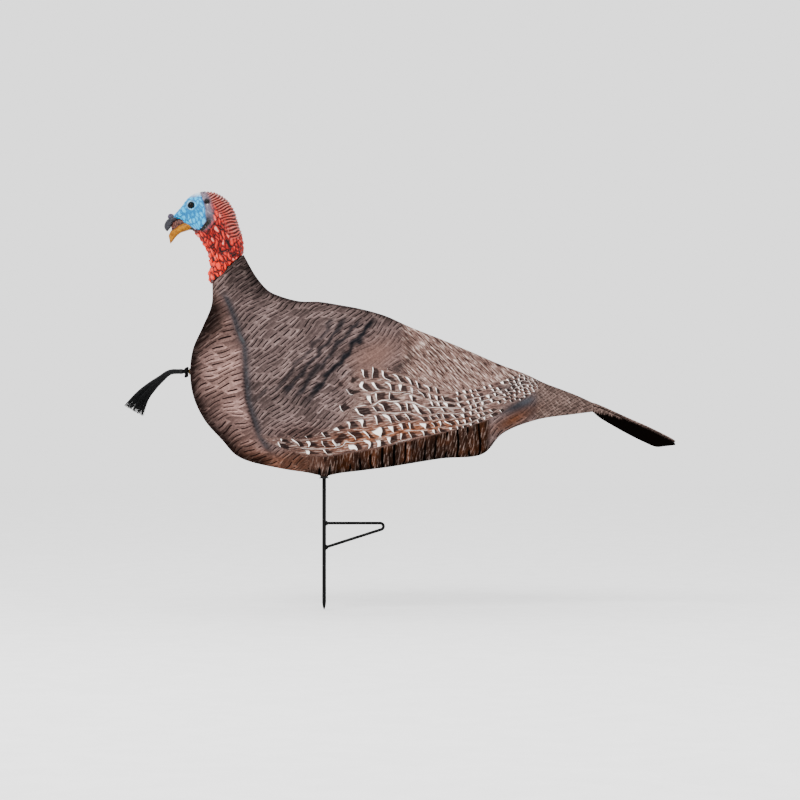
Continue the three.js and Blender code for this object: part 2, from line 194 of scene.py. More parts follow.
def point_colours(piece: bpy.types.Object, name: str, values: np.ndarray) -> None:
    """Store a colour for each point of a piece.

    Args:
        piece: the piece.
        name: the attribute's name.
        values: one linear colour for each point.
    """
    layer = piece.data.attributes.new(name, "FLOAT_COLOR", "POINT")
    layer.data.foreach_set("color", np.c_[values, np.ones(len(values))].astype(np.float32).ravel())


def point_vectors(piece: bpy.types.Object, name: str, values: np.ndarray) -> None:
    """Store a vector for each point of a piece.

    Args:
        piece: the piece.
        name: the attribute's name.
        values: one vector for each point.
    """
    layer = piece.data.attributes.new(name, "FLOAT_VECTOR", "POINT")
    layer.data.foreach_set("vector", values.astype(np.float32).ravel())


def clear_selection() -> None:
    """Deselect everything, so that the next operator acts on its own object only."""
    for each in bpy.context.selected_objects:
        each.select_set(False)


def take(name: str, material: bpy.types.Material) -> bpy.types.Object:
    """Name the object just added, set its place in its mesh, and dress it.

    Args:
        name: the piece's name.
        material: its finish.

    Returns:
        The object.
    """
    made = bpy.context.object
    made.name = name
    bpy.ops.object.transform_apply(location=True, rotation=True, scale=True)
    bpy.ops.object.shade_smooth()
    made.data.materials.clear()
    made.data.materials.append(material)
    return made


def mount(piece: bpy.types.Object, body: str, node: str = "") -> None:
    """Let a piece move with a body, and hide the node it stands for.

    Args:
        piece: the piece.
        body: the body it rides on.
        node: the node it stands for, if it stands for one.
    """
    if node:
        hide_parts(node)
    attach(piece, body)


def dress_points(piece: bpy.types.Object, inked: dict[str, np.ndarray]) -> None:
    """Store a print's arrays on a piece.

    Args:
        piece: the piece.
        inked: the arrays, as FeatherPrint.paint gives them.
    """
    for key, values in inked.items():
        store = point_colours if key in ("ground", "ink") else point_vectors
        store(piece, key, values)


def blobs(points: np.ndarray, pitch: float, seed: int) -> tuple[np.ndarray, np.ndarray]:
    """A field of rounded lumps over a set of points.

    Args:
        points: the points, in millimetres.
        pitch: the usual distance between two lumps, in millimetres.
        seed: the seed of their places.

    Returns:
        Height from 0 in the creases to 1 on the crowns, and a random share for each lump.
    """
    low, high = points.min(axis=0) - pitch, points.max(axis=0) + pitch
    counts = np.ceil((high - low) / pitch).astype(int)
    rng = np.random.default_rng(seed)
    cells = np.stack(np.meshgrid(*[np.arange(c) for c in counts], indexing="ij"), axis=-1).reshape(-1, 3)
    seeds = low + (cells + rng.random(cells.shape)) * pitch
    shares = rng.random(len(seeds))
    tree = KDTree(len(seeds))
    for i, seed_point in enumerate(seeds):
        tree.insert(seed_point, i)
    tree.balance()
    height = np.empty(len(points))
    share = np.empty(len(points))
    for i, point in enumerate(points):
        (_, first, near), (_, _, far) = tree.find_n(point, 2)
        height[i] = min(1.0, (far - near) / (0.55 * pitch))
        share[i] = shares[first]
    return height, share


# ---- lofted forms ------------------------------------------------------------------------------


def spline(rows: np.ndarray, at: np.ndarray) -> np.ndarray:
    """A centripetal Catmull-Rom curve through rows of values, as the frame's lofts have.

    Args:
        rows: one row for each station.
        at: places from 0 to 1 along it.

    Returns:
        One row of values for each place.
    """
    last = len(rows) - 1
    whole = np.minimum((at * last).astype(int), last - 1)
    share = (at * last - whole)[:, None]
    padded = np.vstack([2 * rows[0] - rows[1], rows, 2 * rows[-1] - rows[-2]])
    p0, p1, p2, p3 = (padded[whole + k] for k in range(4))

    def knot(a: np.ndarray, b: np.ndarray) -> np.ndarray:
        """The spacing of two stations, never 0."""
        return np.maximum(np.linalg.norm(b - a, axis=1, keepdims=True) ** 0.5, 1e-4)

    d0, d1, d2 = knot(p0, p1), knot(p1, p2), knot(p2, p3)
    m1 = ((p1 - p0) / d0 - (p2 - p0) / (d0 + d1) + (p2 - p1) / d1) * d1
    m2 = ((p2 - p1) / d1 - (p3 - p1) / (d1 + d2) + (p3 - p2) / d2) * d1
    t2, t3 = share ** 2, share ** 3
    return (2 * t3 - 3 * t2 + 1) * p1 + (t3 - 2 * t2 + share) * m1 + (3 * t2 - 2 * t3) * p2 + (t3 - t2) * m2


@dataclass
class Loft:
    """A surface through slanted oval stations.

    Each station is back Y, back Z, front Y, front Z and half width, in millimetres.
    """

    stations: list[tuple[float, ...]]
    squareness: float = 2.0

    def grid(self, along: np.ndarray, angles: np.ndarray) -> np.ndarray:
        """Points on the surface.

        Args:
            along: places from 0 to 1 along the loft.
            angles: angles from the upper line, in radians.

        Returns:
            An array of places by angles by three, in millimetres.
        """
        rows = np.array(self.stations, dtype=float)
        upper = spline(rows[:, [4, 0, 1]], along)
        lower = spline(np.c_[np.zeros(len(rows)), rows[:, 2:4]], along)
        middle = (upper[:, 1:] + lower[:, 1:]) / 2
        reach = (upper[:, 1:] - lower[:, 1:]) / 2
        power = 2 / self.squareness
        up = np.sign(np.cos(angles)) * np.abs(np.cos(angles)) ** power
        out = np.sign(np.sin(angles)) * np.abs(np.sin(angles)) ** power
        points = np.empty((len(along), len(angles), 3))
        points[..., 0] = upper[:, :1] * out
        points[..., 1:] = middle[:, None, :] + reach[:, None, :] * up[None, :, None]
        return points


def turn_outwards(piece: bpy.types.Object) -> None:
    """Turn a closed piece's faces outwards.

    Args:
        piece: the piece.
    """
    work = bmesh.new()
    work.from_mesh(piece.data)
    bmesh.ops.recalc_face_normals(work, faces=work.faces)
    work.to_mesh(piece.data)
    work.free()


def grid_normals(points: np.ndarray) -> np.ndarray:
    """Unit normals of a grid of points, by differences along its rows and columns.

    Args:
        points: an array of rows by columns by three.

    Returns:
        An array of the same shape.
    """
    normal = np.cross(np.gradient(points, axis=0), np.gradient(points, axis=1))
    return normal / np.maximum(np.linalg.norm(normal, axis=-1, keepdims=True), 1e-9)


BODY = Loft([
    (-128.5, 472.2, -178.7, 426.6, 24), (-109, 438, -180, 392, 31), (-90, 416, -195, 355, 44),
    (-70, 406, -210, 320, 62), (-39, 398, -214, 280, 80), (-7, 397, -208, 243, 92),
    (25, 392, -191, 208, 99), (57, 386, -163, 176, 103), (97, 375, -138, 150, 105),
    (137, 357, -79, 131, 105), (185, 338, 0, 116.5, 101), (233, 318, 89, 130, 94),
    (281, 297, 185, 146, 82), (321, 282, 254, 154, 68), (353, 267, 285, 186, 56),
    (377, 258, 339, 208, 46), (405, 247, 398, 217, 38), (429, 236, 429, 221, 34),
], 2.25)

HEAD = Loft([
    (-129.3, 473.7, -180.2, 428, 26), (-128.2, 483, -183.7, 438.4, 28), (-129, 494, -181.8, 456, 26),
    (-131.4, 505.6, -186.6, 477.6, 25), (-136.2, 518.4, -197, 495.2, 24),
    (-140.2, 532.8, -209.8, 510.4, 23.5), (-145.8, 547.2, -219.4, 518.4, 23),
    (-155.4, 560, -224.2, 522.4, 22.5), (-169.8, 569.6, -227.4, 525.6, 21.5),
    (-186.6, 573.4, -230.6, 528.8, 20), (-203.4, 569.6, -233.8, 529.6, 18),
    (-218.6, 558.4, -237, 528.8, 14), (-229.8, 546.4, -239.4, 528, 10.5), (-238.6, 537.6, -241.8, 527.2, 8),
])


# ---- the feather print -------------------------------------------------------------------------


class Zone(Enum):
    """The fields of the feather print."""

    MANTLE = "mantle"
    BREAST = "breast"
    WING = "wing"
    PLUME = "plume"
    FLANK = "flank"
    CONE = "cone"


@dataclass(frozen=True)
class ZoneInk:
    """How one zone is printed: its ground and ink, and the lie and size of its marks in millimetres."""

    ground: str
    ink: str
    lean: float
    length: float
    pitch: float
    strokes: float = 0.0
    bars: float = 0.0
    hairs: float = 0.0


INKS = {
    Zone.MANTLE: ZoneInk("725F5C", "0D0B0C", 40, 19, 6.8, strokes=1.0, hairs=0.3),
    Zone.BREAST: ZoneInk("96766F", "160B0B", 24, 25, 7.8, strokes=1.0, hairs=0.25),
    Zone.WING: ZoneInk("8C6D64", "1E1819", 5, 40, 9, bars=1.0, hairs=0.8),
    Zone.PLUME: ZoneInk("92746B", "281B1A", -46, 24, 5.0, strokes=0.45, hairs=1.0),
    Zone.FLANK: ZoneInk("38241C", "040303", 90, 90, 17, strokes=1.0, hairs=0.5),
    Zone.CONE: ZoneInk("7A645D", "120D0C", 32, 7, 5, strokes=0.8, hairs=0.35),
}


def drift(y: np.ndarray, z: np.ndarray, pitch: float, seed: int) -> np.ndarray:
    """Smooth random unevenness over the side view.

    Args:
        y: the points' places along the bird, in millimetres.
        z: their heights.
        pitch: the usual size of a patch.
        seed: the seed of the patches.

    Returns:
        A share from 0 to 1 for each point.
    """
    rng = np.random.default_rng(seed)
    table = rng.random((64, 64))
    u, v = y / pitch + 20, z / pitch + 20
    i, j = np.floor(u).astype(int), np.floor(v).astype(int)
    a, b = smooth(0, 1, u - i), smooth(0, 1, v - j)
    i, j = i % 63, j % 63
    low = table[i, j] * (1 - a) + table[i + 1, j] * a
    high = table[i, j + 1] * (1 - a) + table[i + 1, j + 1] * a
    return low * (1 - b) + high * b


@dataclass
class FeatherPrint:
    """Where each zone of the printed panel lies, in side view. Y and Z are in millimetres."""

    wing_rows: float = 7.0
    tick_pitch: float = 14.5
    groove: np.ndarray = field(default_factory=lambda: np.array([
        (-71, 148.8), (-90, 161.6), (-103, 183), (-112, 214), (-120, 240), (-123.4, 278), (-126.6, 325),
        (-134.6, 342), (-142.6, 365), (-150.6, 386), (-161.8, 410), (-166, 430)]))
    wing_top: np.ndarray = field(default_factory=lambda: np.array([
        (-99, 225), (9, 259), (57, 290), (88, 294), (125, 280), (165, 266), (204, 253), (240, 259),
        (275, 269), (317, 282), (336, 272)]))
    wing_foot: np.ndarray = field(default_factory=lambda: np.array([
        (-99, 182), (-82, 170), (-29, 151), (8, 150), (88, 163), (185, 187), (225, 196), (262, 209),
        (302, 230), (339, 256)]))

    def groove_offset(self, y: np.ndarray, z: np.ndarray) -> np.ndarray:
        """Distance behind the groove's line: negative on the breast.

        Args:
            y: the points' places along the bird.
            z: their heights.

        Returns:
            The distance of each point, in millimetres.
        """
        return y - np.interp(z, self.groove[:, 1], self.groove[:, 0])

    def wing_drop(self, y: np.ndarray, z: np.ndarray) -> np.ndarray:
        """Share of the way down the wing: 0 at its upper edge and 1 at its foot.

        Args:
            y: the points' places along the bird.
            z: their heights.

        Returns:
            The share for each point.
        """
        top = np.interp(y, self.wing_top[:, 0], self.wing_top[:, 1])
        foot = np.interp(y, self.wing_foot[:, 0], self.wing_foot[:, 1])
        return (top - z) / np.maximum(top - foot, 6)

    def paint(self, y: np.ndarray, z: np.ndarray, x: np.ndarray) -> dict[str, np.ndarray]:
        """Work out the print at each point.

        Args:
            y: the points' places along the bird.
            z: their heights.
            x: their distances from the middle.

        Returns:
            Colour arrays "ground" and "ink", and vector arrays "flow", "quill", "lie" and "marks".
        """
        behind = self.groove_offset(y, z)
        drop = self.wing_drop(y, z)
        start = 58 - 150 * smooth(0.5, 0.93, drop)
        in_wing = smooth(-45, 30, y - start + 30 * (drift(y, z, 14, 5) - 0.5))
        in_wing *= smooth(-0.02, 0.03, drop) * smooth(1.0, 0.96, drop)
        in_wing *= smooth(345, 336, y) * smooth(1, 6, behind)
        weights = {
            Zone.BREAST: smooth(1.5, -1.5, behind) * smooth(412, 396, z),
            Zone.WING: in_wing,
            Zone.FLANK: smooth(0.97, 1.01, drop) * smooth(0, 90, behind) * smooth(266, 258, y),
            Zone.CONE: smooth(334, 341, y),
            Zone.PLUME: smooth(0.03, -0.02, drop) * smooth(118, 134, y) * smooth(345, 330, y),
        }
        used = sum(weights.values())
        weights[Zone.MANTLE] = np.clip(1 - used, 0, 1)
        total = used + weights[Zone.MANTLE]
        result = {name: np.zeros((len(y), 3)) for name in ("ground", "ink", "flow", "quill", "lie", "marks")}
        best = np.zeros(len(y))
        for zone, weight in weights.items():
            share = weight / total
            spec = INKS[zone]
            result["ground"] += share[:, None] * np.array(albedo(spec.ground))
            result["ink"] += share[:, None] * np.array(albedo(spec.ink))
            result["marks"] += share[:, None] * np.array([spec.strokes, spec.bars, spec.hairs])
            lean = math.radians(spec.lean)
            leads = share > best
            along = (y * math.cos(lean) + z * math.sin(lean)) / spec.length
            across = (z * math.cos(lean) - y * math.sin(lean)) / spec.pitch
            result["flow"][leads, 0], result["flow"][leads, 1] = along[leads], across[leads]
            best = np.maximum(best, share)
        result["flow"][:, 2] = np.where(weights[Zone.FLANK] > 0.5, 0.2, 1.0)
        lean = np.where(y > 110, math.radians(-44), math.radians(38))
        lean = np.where(weights[Zone.FLANK] > 0.5, math.radians(80), lean)
        lean = np.where((weights[Zone.WING] > 0.5), math.radians(8), lean)
        result["lie"][:, 0] = (y * np.cos(lean) + z * np.sin(lean)) / 22
        result["lie"][:, 1] = (z * np.cos(lean) - y * np.sin(lean)) / 3.4
        away = 340 - y
        result["quill"][:, 0] = np.log(0.45 + away / 300) * -300 / self.tick_pitch
        result["quill"][:, 1] = drop * self.wing_rows
        self._tones(y, z, x, behind, drop, result["ground"], result["marks"])
        return result

    def _tones(self, y: np.ndarray, z: np.ndarray, x: np.ndarray, behind: np.ndarray, drop: np.ndarray,
               ground: np.ndarray, marks: np.ndarray) -> None:
        """Lay the broad tones over the zones' grounds: groove, bands, patches, painted shade along the edges, and
        seam.

        Args:
            y: the points' places along the bird.
            z: their heights.
            x: their distances from the middle.
            behind: their distances behind the groove.
            drop: their shares of the way down the wing.
            ground: the ground colours, changed in place.
            marks: the strengths of the marks, changed in place.
        """
        ahead = smooth(8, -30, behind)

        def blend(code: str, weight: np.ndarray, hush: float = 0.0) -> None:
            """Mix a colour into the ground, and fade the marks there.

            Args:
                code: the colour, as six hex digits.
                weight: its share at each point.
                hush: how far the marks fade under it.
            """
            share = np.clip(weight, 0, 1)[:, None]
            ground[:] = ground * (1 - share) + np.array(albedo(code)) * share
            marks[:] = marks * (1 - hush * share)

        def spot(cy: float, cz: float, ry: float, rz: float, turn: float = 0.0) -> np.ndarray:
            """A soft oval patch.

            Args:
                cy: its middle along the bird.
                cz: its middle's height.
                ry: its reach along its own length.
                rz: its reach across that.
                turn: how far its length rises, in degrees.

            Returns:
                A share from 0 to 1 for each point.
            """
            c, s = math.cos(math.radians(turn)), math.sin(math.radians(turn))
            dy, dz = y - cy, z - cz
            return np.exp(-(((dy * c + dz * s) / ry) ** 2 + ((dz * c - dy * s) / rz) ** 2))

        # the breast: olive-brown above, palest in its middle, orange-brown low
        blend("5A443C", 0.8 * ahead * smooth(300, 375, z))
        blend("A68279", 0.6 * ahead * spot(-152, 272, 26, 52, -8))
        blend("8C6456", 0.75 * ahead * smooth(200, 150, z))
        # patchy unevenness of the ground, about 26 mm and 9 mm across
        patch = drift(y, z, 26, 3) * 0.6 + drift(y, z, 9, 4) * 0.4
        ground *= (0.62 + 0.76 * patch)[:, None]
        # the groove's blurred slate shadow with a fine black crease
        line = np.exp(-((behind - 3) / 7.0) ** 2) * smooth(420, 396, z) * smooth(140, 165, z)
        blend("30363C", 0.8 * line, 0.7)
        crease = np.exp(-((behind + 1) / 1.7) ** 2) * smooth(310, 270, z) * smooth(180, 200, z)
        blend("0B0B0D", 0.9 * crease, 0.5)
        # the smooth tan feathers behind the shoulder, and their dark chevron
        tan = spot(82, 309, 46, 25, 24) * smooth(20, 42, y + 0.9 * (z - 300))
        blend("86675E", 0.95 * tan, 0.85)
        blend("2E2624", 0.75 * spot(136, 314, 5, 22, 8), 0.5)
        blend("2E2624", 0.75 * spot(126, 296, 20, 4.5, 45), 0.4)
        # long slate bands between the shoulder and the tan feathers
        bands = ((0, 0.97, 5.5), (-24, 0.85, 5), (-45, 0.85, 4.5), (-64, 0.7, 4), (-82, 0.6, 3.5), (-100, 0.45, 3))
        for shift, depth, width in bands:
            across = (y - 30 - shift) * 0.77 - (z - 304) * 0.64 + 9 * (drift(y, z, 10, 6) - 0.5)
            along = (y - 30 - shift) * 0.64 + (z - 304) * 0.77
            span = smooth(-112 - 0.7 * shift, -60, along) * smooth(90, 72, along)
            blend("171B20", depth * np.exp(-(across / width) ** 4) * span * smooth(6, 20, behind), 0.5)
        # the wing: pale in its middle, copper along its foot, slate towards its tip
        blend("93756C", 0.6 * spot(150, 265, 60, 24, -18) * smooth(0, 0.1, drop))
        blend("A4603A", 0.75 * np.exp(-((drop - 0.82) / 0.12) ** 2) * smooth(-60, 60, y) * smooth(250, 180, y))
        blend("4A3029", 0.6 * spot(-30, 185, 60, 20, 0))
        blend("35383D", 0.7 * spot(300, 262, 46, 12, 22))
        # rump: a smooth slate patch over an orange-brown one
        blend("33373D", 0.95 * spot(306, 229, 30, 12, 24), 0.95)
        blend("565E68", 0.5 * spot(322, 238, 11, 5, 24), 0.95)
        blend("6E4026", 0.85 * spot(300, 208, 36, 10, 26), 0.5)
        # copper patches on the flank and the belly
        copper = smooth(0.5, 0.75, drift(y, z * 0.6, 13, 8)) * smooth(0.95, 1.05, drop) * smooth(-60, 20, y)
        blend("6A3A1E", 0.32 * copper * smooth(262, 250, y), 0.1)
        blend("7E4B30", 0.65 * smooth(170, 140, z) * smooth(20, -50, y))
        # painted shade: the sides darken where they turn away towards the front, the belly and the shoulder, and
        # the back seam is a fine black line
        front = smooth(92, 30, np.abs(x)) * ahead * smooth(420, 390, z)
        blend("0E0909", 0.93 * front, 0.1)
        blend("16100E", 0.75 * smooth(46, 16, np.abs(x)) * smooth(20, 60, behind) * smooth(196, 158, z))
        shoulder = smooth(50, 14, np.abs(x)) * smooth(4, 20, behind) * smooth(250, 300, z) * smooth(140, 90, y)
        blend("151112", 0.8 * shoulder)
        back_seam = smooth(9, 3, np.abs(x)) * smooth(60, 130, y) * smooth(335, 290, y) * smooth(255, 275, z)
        blend("0A0808", 0.9 * back_seam, 1.0)


PRINT = FeatherPrint()


@dataclass(frozen=True)
class PrintedKnit:
    """Polyester stretch knit, sublimation printed: dead matt, with a faint nap and fine wales."""

    name: str = "printed_polyester_knit"
    wale_mm: float = 1.6  # a real knit has about 0.8 mm, too fine to show
    roughness: float = 0.88

    def material(self) -> bpy.types.Material:
        """Build the finish from the piece's ground, ink, flow, quill, lie and marks attributes.

        Returns:
            The material.
        """
        material, tree, shader = fresh_material(self.name)

        def attribute(name: str, output: str) -> bpy.types.NodeSocket:
            """One of the piece's attributes."""
            return put(tree, "ShaderNodeAttribute", attribute_name=name).outputs[output]

        def maths(operation: str, *sources: object) -> bpy.types.NodeSocket:
            """An operation on sockets or numbers."""
            return put(tree, "ShaderNodeMath", dict(enumerate(sources)), operation=operation).outputs[0]

        def step(source: bpy.types.NodeSocket, low: float, high: float, out: tuple[float, float] = (0.0, 1.0),
                 ) -> bpy.types.NodeSocket:
            """A smooth step.

            Args:
                source: what is stepped.
                low: where the step starts.
                high: where it ends.
                out: its values there.

            Returns:
                The step's socket.
            """
            return put(tree, "ShaderNodeMapRange", {
                "Value": source, "From Min": low, "From Max": high, "To Min": out[0], "To Max": out[1],
            }, interpolation_type="SMOOTHSTEP").outputs[0]

        def product(*sources: object) -> bpy.types.NodeSocket:
            """The product of a socket and other sockets or numbers.

            Args:
                sources: the factors. The first is a socket.

            Returns:
                The product's socket.
            """
            result = sources[0]
            for source in sources[1:]:
                result = maths("MULTIPLY", result, source)
            return result

        def tint(under: bpy.types.NodeSocket, over: object, share: bpy.types.NodeSocket) -> bpy.types.NodeSocket:
            """One colour laid over another by a share."""
            return put(tree, "ShaderNodeMix", {"Factor": share, 6: under, 7: over}, data_type="RGBA").outputs[2]

        def cells(along: bpy.types.NodeSocket, across: bpy.types.NodeSocket, lean: float, slide: float,
                  ) -> tuple[bpy.types.NodeSocket, ...]:
            """Rows of cells, each with its own luck.

            Args:
                along: place along the rows, one unit for each cell.
                across: place across them, one unit for each row.
                lean: how far a cell leans over its row.
                slide: how far a row may be shifted along.

            Returns:
                Place in the row, distance off its middle, place in the cell, and the cell's and row's luck.
            """
            row = maths("FLOOR", across)
            in_row = maths("FRACT", across)
            luck = put(tree, "ShaderNodeTexWhiteNoise", {"W": row}, noise_dimensions="1D").outputs["Value"]
            place_in = maths("MULTIPLY_ADD", in_row, lean, maths("MULTIPLY_ADD", luck, slide, along))
            cell = maths("FLOOR", place_in)
            pair = put(tree, "ShaderNodeCombineXYZ", {0: row, 1: cell}).outputs[0]
            fate = put(tree, "ShaderNodeTexWhiteNoise", {"Vector": pair}, noise_dimensions="3D").outputs["Value"]
            off_row = maths("ABSOLUTE", maths("SUBTRACT", in_row, 0.5))
            in_cell = maths("FRACT", place_in)
            return in_row, off_row, in_cell, fate, luck

        ground, ink = attribute("ground", "Color"), attribute("ink", "Color")
        place = put(tree, "ShaderNodeTexCoord").outputs["Object"]
        strokes, bars, hairs = put(tree, "ShaderNodeSeparateXYZ", {0: attribute("marks", "Vector")}).outputs
        # a slow wander of about 50 mm keeps the rows from lining up like ruled paper
        wander = put(tree, "ShaderNodeTexNoise", {"Vector": place, "Scale": 20.0, "Detail": 0.5}).outputs[0]
        sway = maths("SUBTRACT", wander, 0.5)

        along, across, loose = put(tree, "ShaderNodeSeparateXYZ", {0: attribute("flow", "Vector")}).outputs
        across = maths("MULTIPLY_ADD", maths("MULTIPLY", sway, loose), 3.0, across)
        in_row, off_row, in_cell, fate, _ = cells(along, across, 0.25, 7.3)
        off_cell = maths("ABSOLUTE", maths("SUBTRACT", in_cell, 0.5))
        ragged = maths("MULTIPLY_ADD", fate, 0.16, off_cell)
        dash = product(step(off_row, 0.08, 0.14, (1.0, 0.0)), step(ragged, 0.44, 0.5, (1.0, 0.0)))
        dash = product(dash, step(fate, 0.06, 0.25), strokes)
        # each printed feather is a shade lighter or darker, and darkens towards the one above it
        tone = product(step(fate, 0.0, 1.0, (0.62, 1.4)), step(in_row, 0.0, 1.0, (1.25, 0.75)))
        tone = maths("MULTIPLY_ADD", maths("SUBTRACT", tone, 1.0), strokes, 1.0)

        quill, down, _ = put(tree, "ShaderNodeSeparateXYZ", {0: attribute("quill", "Vector")}).outputs
        # hand-drawn unevenness of about 30 mm in the rows and their ticks
        jitter = put(tree, "ShaderNodeTexNoise", {"Vector": place, "Scale": 34.0, "Detail": 1.0})
        down = maths("MULTIPLY_ADD", maths("SUBTRACT", jitter.outputs[0], 0.5), 0.8, down)
        down = maths("MULTIPLY_ADD", sway, 0.9, down)
        _, jog, _ = put(tree, "ShaderNodeSeparateColor", {0: jitter.outputs[1]}).outputs
        quill = maths("MULTIPLY_ADD", maths("SUBTRACT", jog, 0.5), 1.9, quill)
        in_wing_row, off_wing, in_tick, tick_fate, wing_luck = cells(quill, down, -0.6, 5.1)
        in_band = step(off_wing, 0.27, 0.41, (1.0, 0.0))
        # a tick is a wedge: wide where it starts and narrow where it ends, with a dark bar beside it
        wedge = product(step(in_wing_row, 0.1, 0.95, (0.27, 0.02)), step(tick_fate, 0.0, 1.0, (0.25, 1.3)))
        shown = product(step(maths("SUBTRACT", product(bars, 0.9), tick_fate), -0.06, 0.06), step(bars, 0.04, 0.16))
        white = product(in_band, step(maths("SUBTRACT", in_tick, wedge), -0.03, 0.04, (1.0, 0.0)), shown)
        block = product(in_band, step(in_tick, 0.5, 0.7, (1.0, 0.0)), shown, 0.85)
        rail = product(step(off_wing, 0.465, 0.495), step(wing_luck, 0.6, 0.7), step(bars, 0.5, 0.95))
        rail = product(rail, step(jog, 0.4, 0.52), 0.9)

        # hairs: noise drawn out along the feather's lie, dark and pale
        lie = attribute("lie", "Vector")
        fibre = put(tree, "ShaderNodeTexNoise", {"Vector": lie, "Scale": 1.6, "Detail": 3.0}).outputs[0]
        dark_hair = product(step(fibre, 0.38, 0.48, (1.0, 0.0)), hairs, 0.9)
        pale_hair = product(step(fibre, 0.53, 0.64), hairs, hairs, 0.85)
        fine = put(tree, "ShaderNodeTexNoise", {"Vector": place, "Scale": 330.0, "Detail": 3.0}).outputs[0]
        speck = step(fine, 0.3, 0.7, (0.8, 1.2))

        # pale ink of the wing's ticks and quills
        white_ink = (*linear("FFF6F0"), 1.0)
        colour = tint(ground, ink, dark_hair)
        colour = tint(colour, (*albedo("F2D6CA"), 1.0), pale_hair)
        colour = put(tree, "ShaderNodeVectorMath", {0: colour, "Scale": product(tone, speck)}, operation="SCALE")
        colour = tint(colour.outputs[0], ink, dash)
        colour = tint(colour, ink, block)
        colour = tint(colour, white_ink, rail)
        colour = tint(colour, white_ink, white)
        tree.links.new(colour, shader.inputs["Base Color"])
        weave = put(tree, "ShaderNodeTexWave", {
            "Vector": place, "Scale": 1 / (self.wale_mm * MM * 6.3), "Distortion": 1.5,
        }, bands_direction="Y").outputs[1]
        bump = put(tree, "ShaderNodeBump", {"Height": weave, "Strength": 0.12, "Distance": 0.0004})
        tree.links.new(bump.outputs[0], shader.inputs["Normal"])
        shader.inputs["Roughness"].default_value = self.roughness
        shader.inputs["Specular IOR Level"].default_value = 0.0
        return material


@dataclass(frozen=True)
class PlainFinish:
    """A plain finish with fine mottling of its colour and a low relief of its own grain."""

    name: str
    colour: str
    shade: str
    roughness: float
    grain_mm: float
    metallic: float = 0.0
    relief_mm: float = 0.05
    level: float = 0.5
    shine: float = 0.3

    def material(self) -> bpy.types.Material:
        """Build the finish on Object coordinates.

        Returns:
            The material.
        """
        material, tree, shader = fresh_material(self.name)
        place = put(tree, "ShaderNodeTexCoord").outputs["Object"]
        grain = put(tree, "ShaderNodeTexNoise", {
            "Vector": place, "Scale": 1 / (self.grain_mm * MM), "Detail": 5.0}).outputs[0]
        colours = put(tree, "ShaderNodeValToRGB", {"Fac": grain})
        colours.color_ramp.elements[0].position = 0.35
        colours.color_ramp.elements[0].color = (*albedo(self.shade, self.level), 1)
        colours.color_ramp.elements[1].position = 0.65
        colours.color_ramp.elements[1].color = (*albedo(self.colour, self.level), 1)
        tree.links.new(colours.outputs[0], shader.inputs["Base Color"])
        dull = put(tree, "ShaderNodeMapRange", {
            "Value": grain, "To Min": max(0.03, self.roughness - 0.07), "To Max": self.roughness + 0.07})
        tree.links.new(dull.outputs[0], shader.inputs["Roughness"])
        bump = put(tree, "ShaderNodeBump", {"Height": grain, "Strength": 0.5, "Distance": self.relief_mm * MM})
        tree.links.new(bump.outputs[0], shader.inputs["Normal"])
        shader.inputs["Metallic"].default_value = self.metallic
        if not self.metallic:
            shader.inputs["Specular IOR Level"].default_value = self.shine
        return material


@dataclass(frozen=True)
class PaintedVinyl:
    """Moulded vinyl, air-brushed by hand: satin, with painted highlights on the crowns of its warts and painted
    shade in their creases.
    """

    name: str = "hand_painted_vinyl"

    def material(self) -> bpy.types.Material:
        """Build the finish from the piece's paint attribute.

        Returns:
            The material.
        """
        material, tree, shader = fresh_material(self.name)
        paint = put(tree, "ShaderNodeAttribute", attribute_name="paint").outputs["Color"]
        place = put(tree, "ShaderNodeTexCoord").outputs["Object"]
        # brush mottling about 2 mm across
        mottle = put(tree, "ShaderNodeTexNoise", {"Vector": place, "Scale": 500.0, "Detail": 3.0}).outputs[0]
        gain = put(tree, "ShaderNodeMapRange", {"Value": mottle, "To Min": 0.6, "To Max": 1.4}).outputs[0]
        colour = put(tree, "ShaderNodeVectorMath", {0: paint, "Scale": gain}, operation="SCALE").outputs[0]
        tree.links.new(colour, shader.inputs["Base Color"])
        bump = put(tree, "ShaderNodeBump", {"Height": mottle, "Strength": 0.4, "Distance": 0.0003})
        tree.links.new(bump.outputs[0], shader.inputs["Normal"])
        shader.inputs["Roughness"].default_value = 0.3
        shader.inputs["Specular IOR Level"].default_value = 0.14
        return material


POWDER_COAT = PlainFinish("black_powder_coat", "0B0B0C", "050506", 0.42, 0.9, shine=0.07)
BLACK_CORD = PlainFinish("black_braided_cord", "161616", "070707", 0.7, 0.8, shine=0.05)
GREY_FOAM = PlainFinish("closed_cell_foam", "4C4C4F", "3C3C3F", 0.95, 1.4, relief_mm=0.3)
NYLON = PlainFinish("natural_moulded_nylon", "D8D4C8", "C9C4B6", 0.5, 2.0, level=0.8)
BLACK_ABS = PlainFinish("black_moulded_abs", "1B1B1D", "131315", 0.5, 0.8, shine=0.15)
ZINC_PLATE = PlainFinish("zinc_plated_steel", "B5B8BA", "9DA0A3", 0.34, 1.5, metallic=1.0, level=1.0)
DULL_BRASS = PlainFinish("dulled_brass", "6A5530", "3F3218", 0.45, 0.9, metallic=1.0, level=0.6)
BRISTLE = PlainFinish("black_nylon_bristle", "121316", "020203", 0.36, 1.6, shine=0.13)
EYE_GLASS = PlainFinish("black_glass_eye", "050505", "020202", 0.04, 3.0, relief_mm=0.0, shine=0.1)
BEAK_HORN = PlainFinish("dark_painted_horn", "4C4C56", "0C0C10", 0.4, 2.0, relief_mm=0.4, shine=0.2)
BEAK_OCHRE = PlainFinish("ochre_painted_horn", "E89C08", "A86000", 0.42, 3.4, relief_mm=0.2, level=0.42, shine=0.15)
SNOOD_PAINT = PlainFinish("purple_grey_painted_vinyl", "786C86", "1A1420", 0.45, 1.4, relief_mm=0.6, shine=0.15)
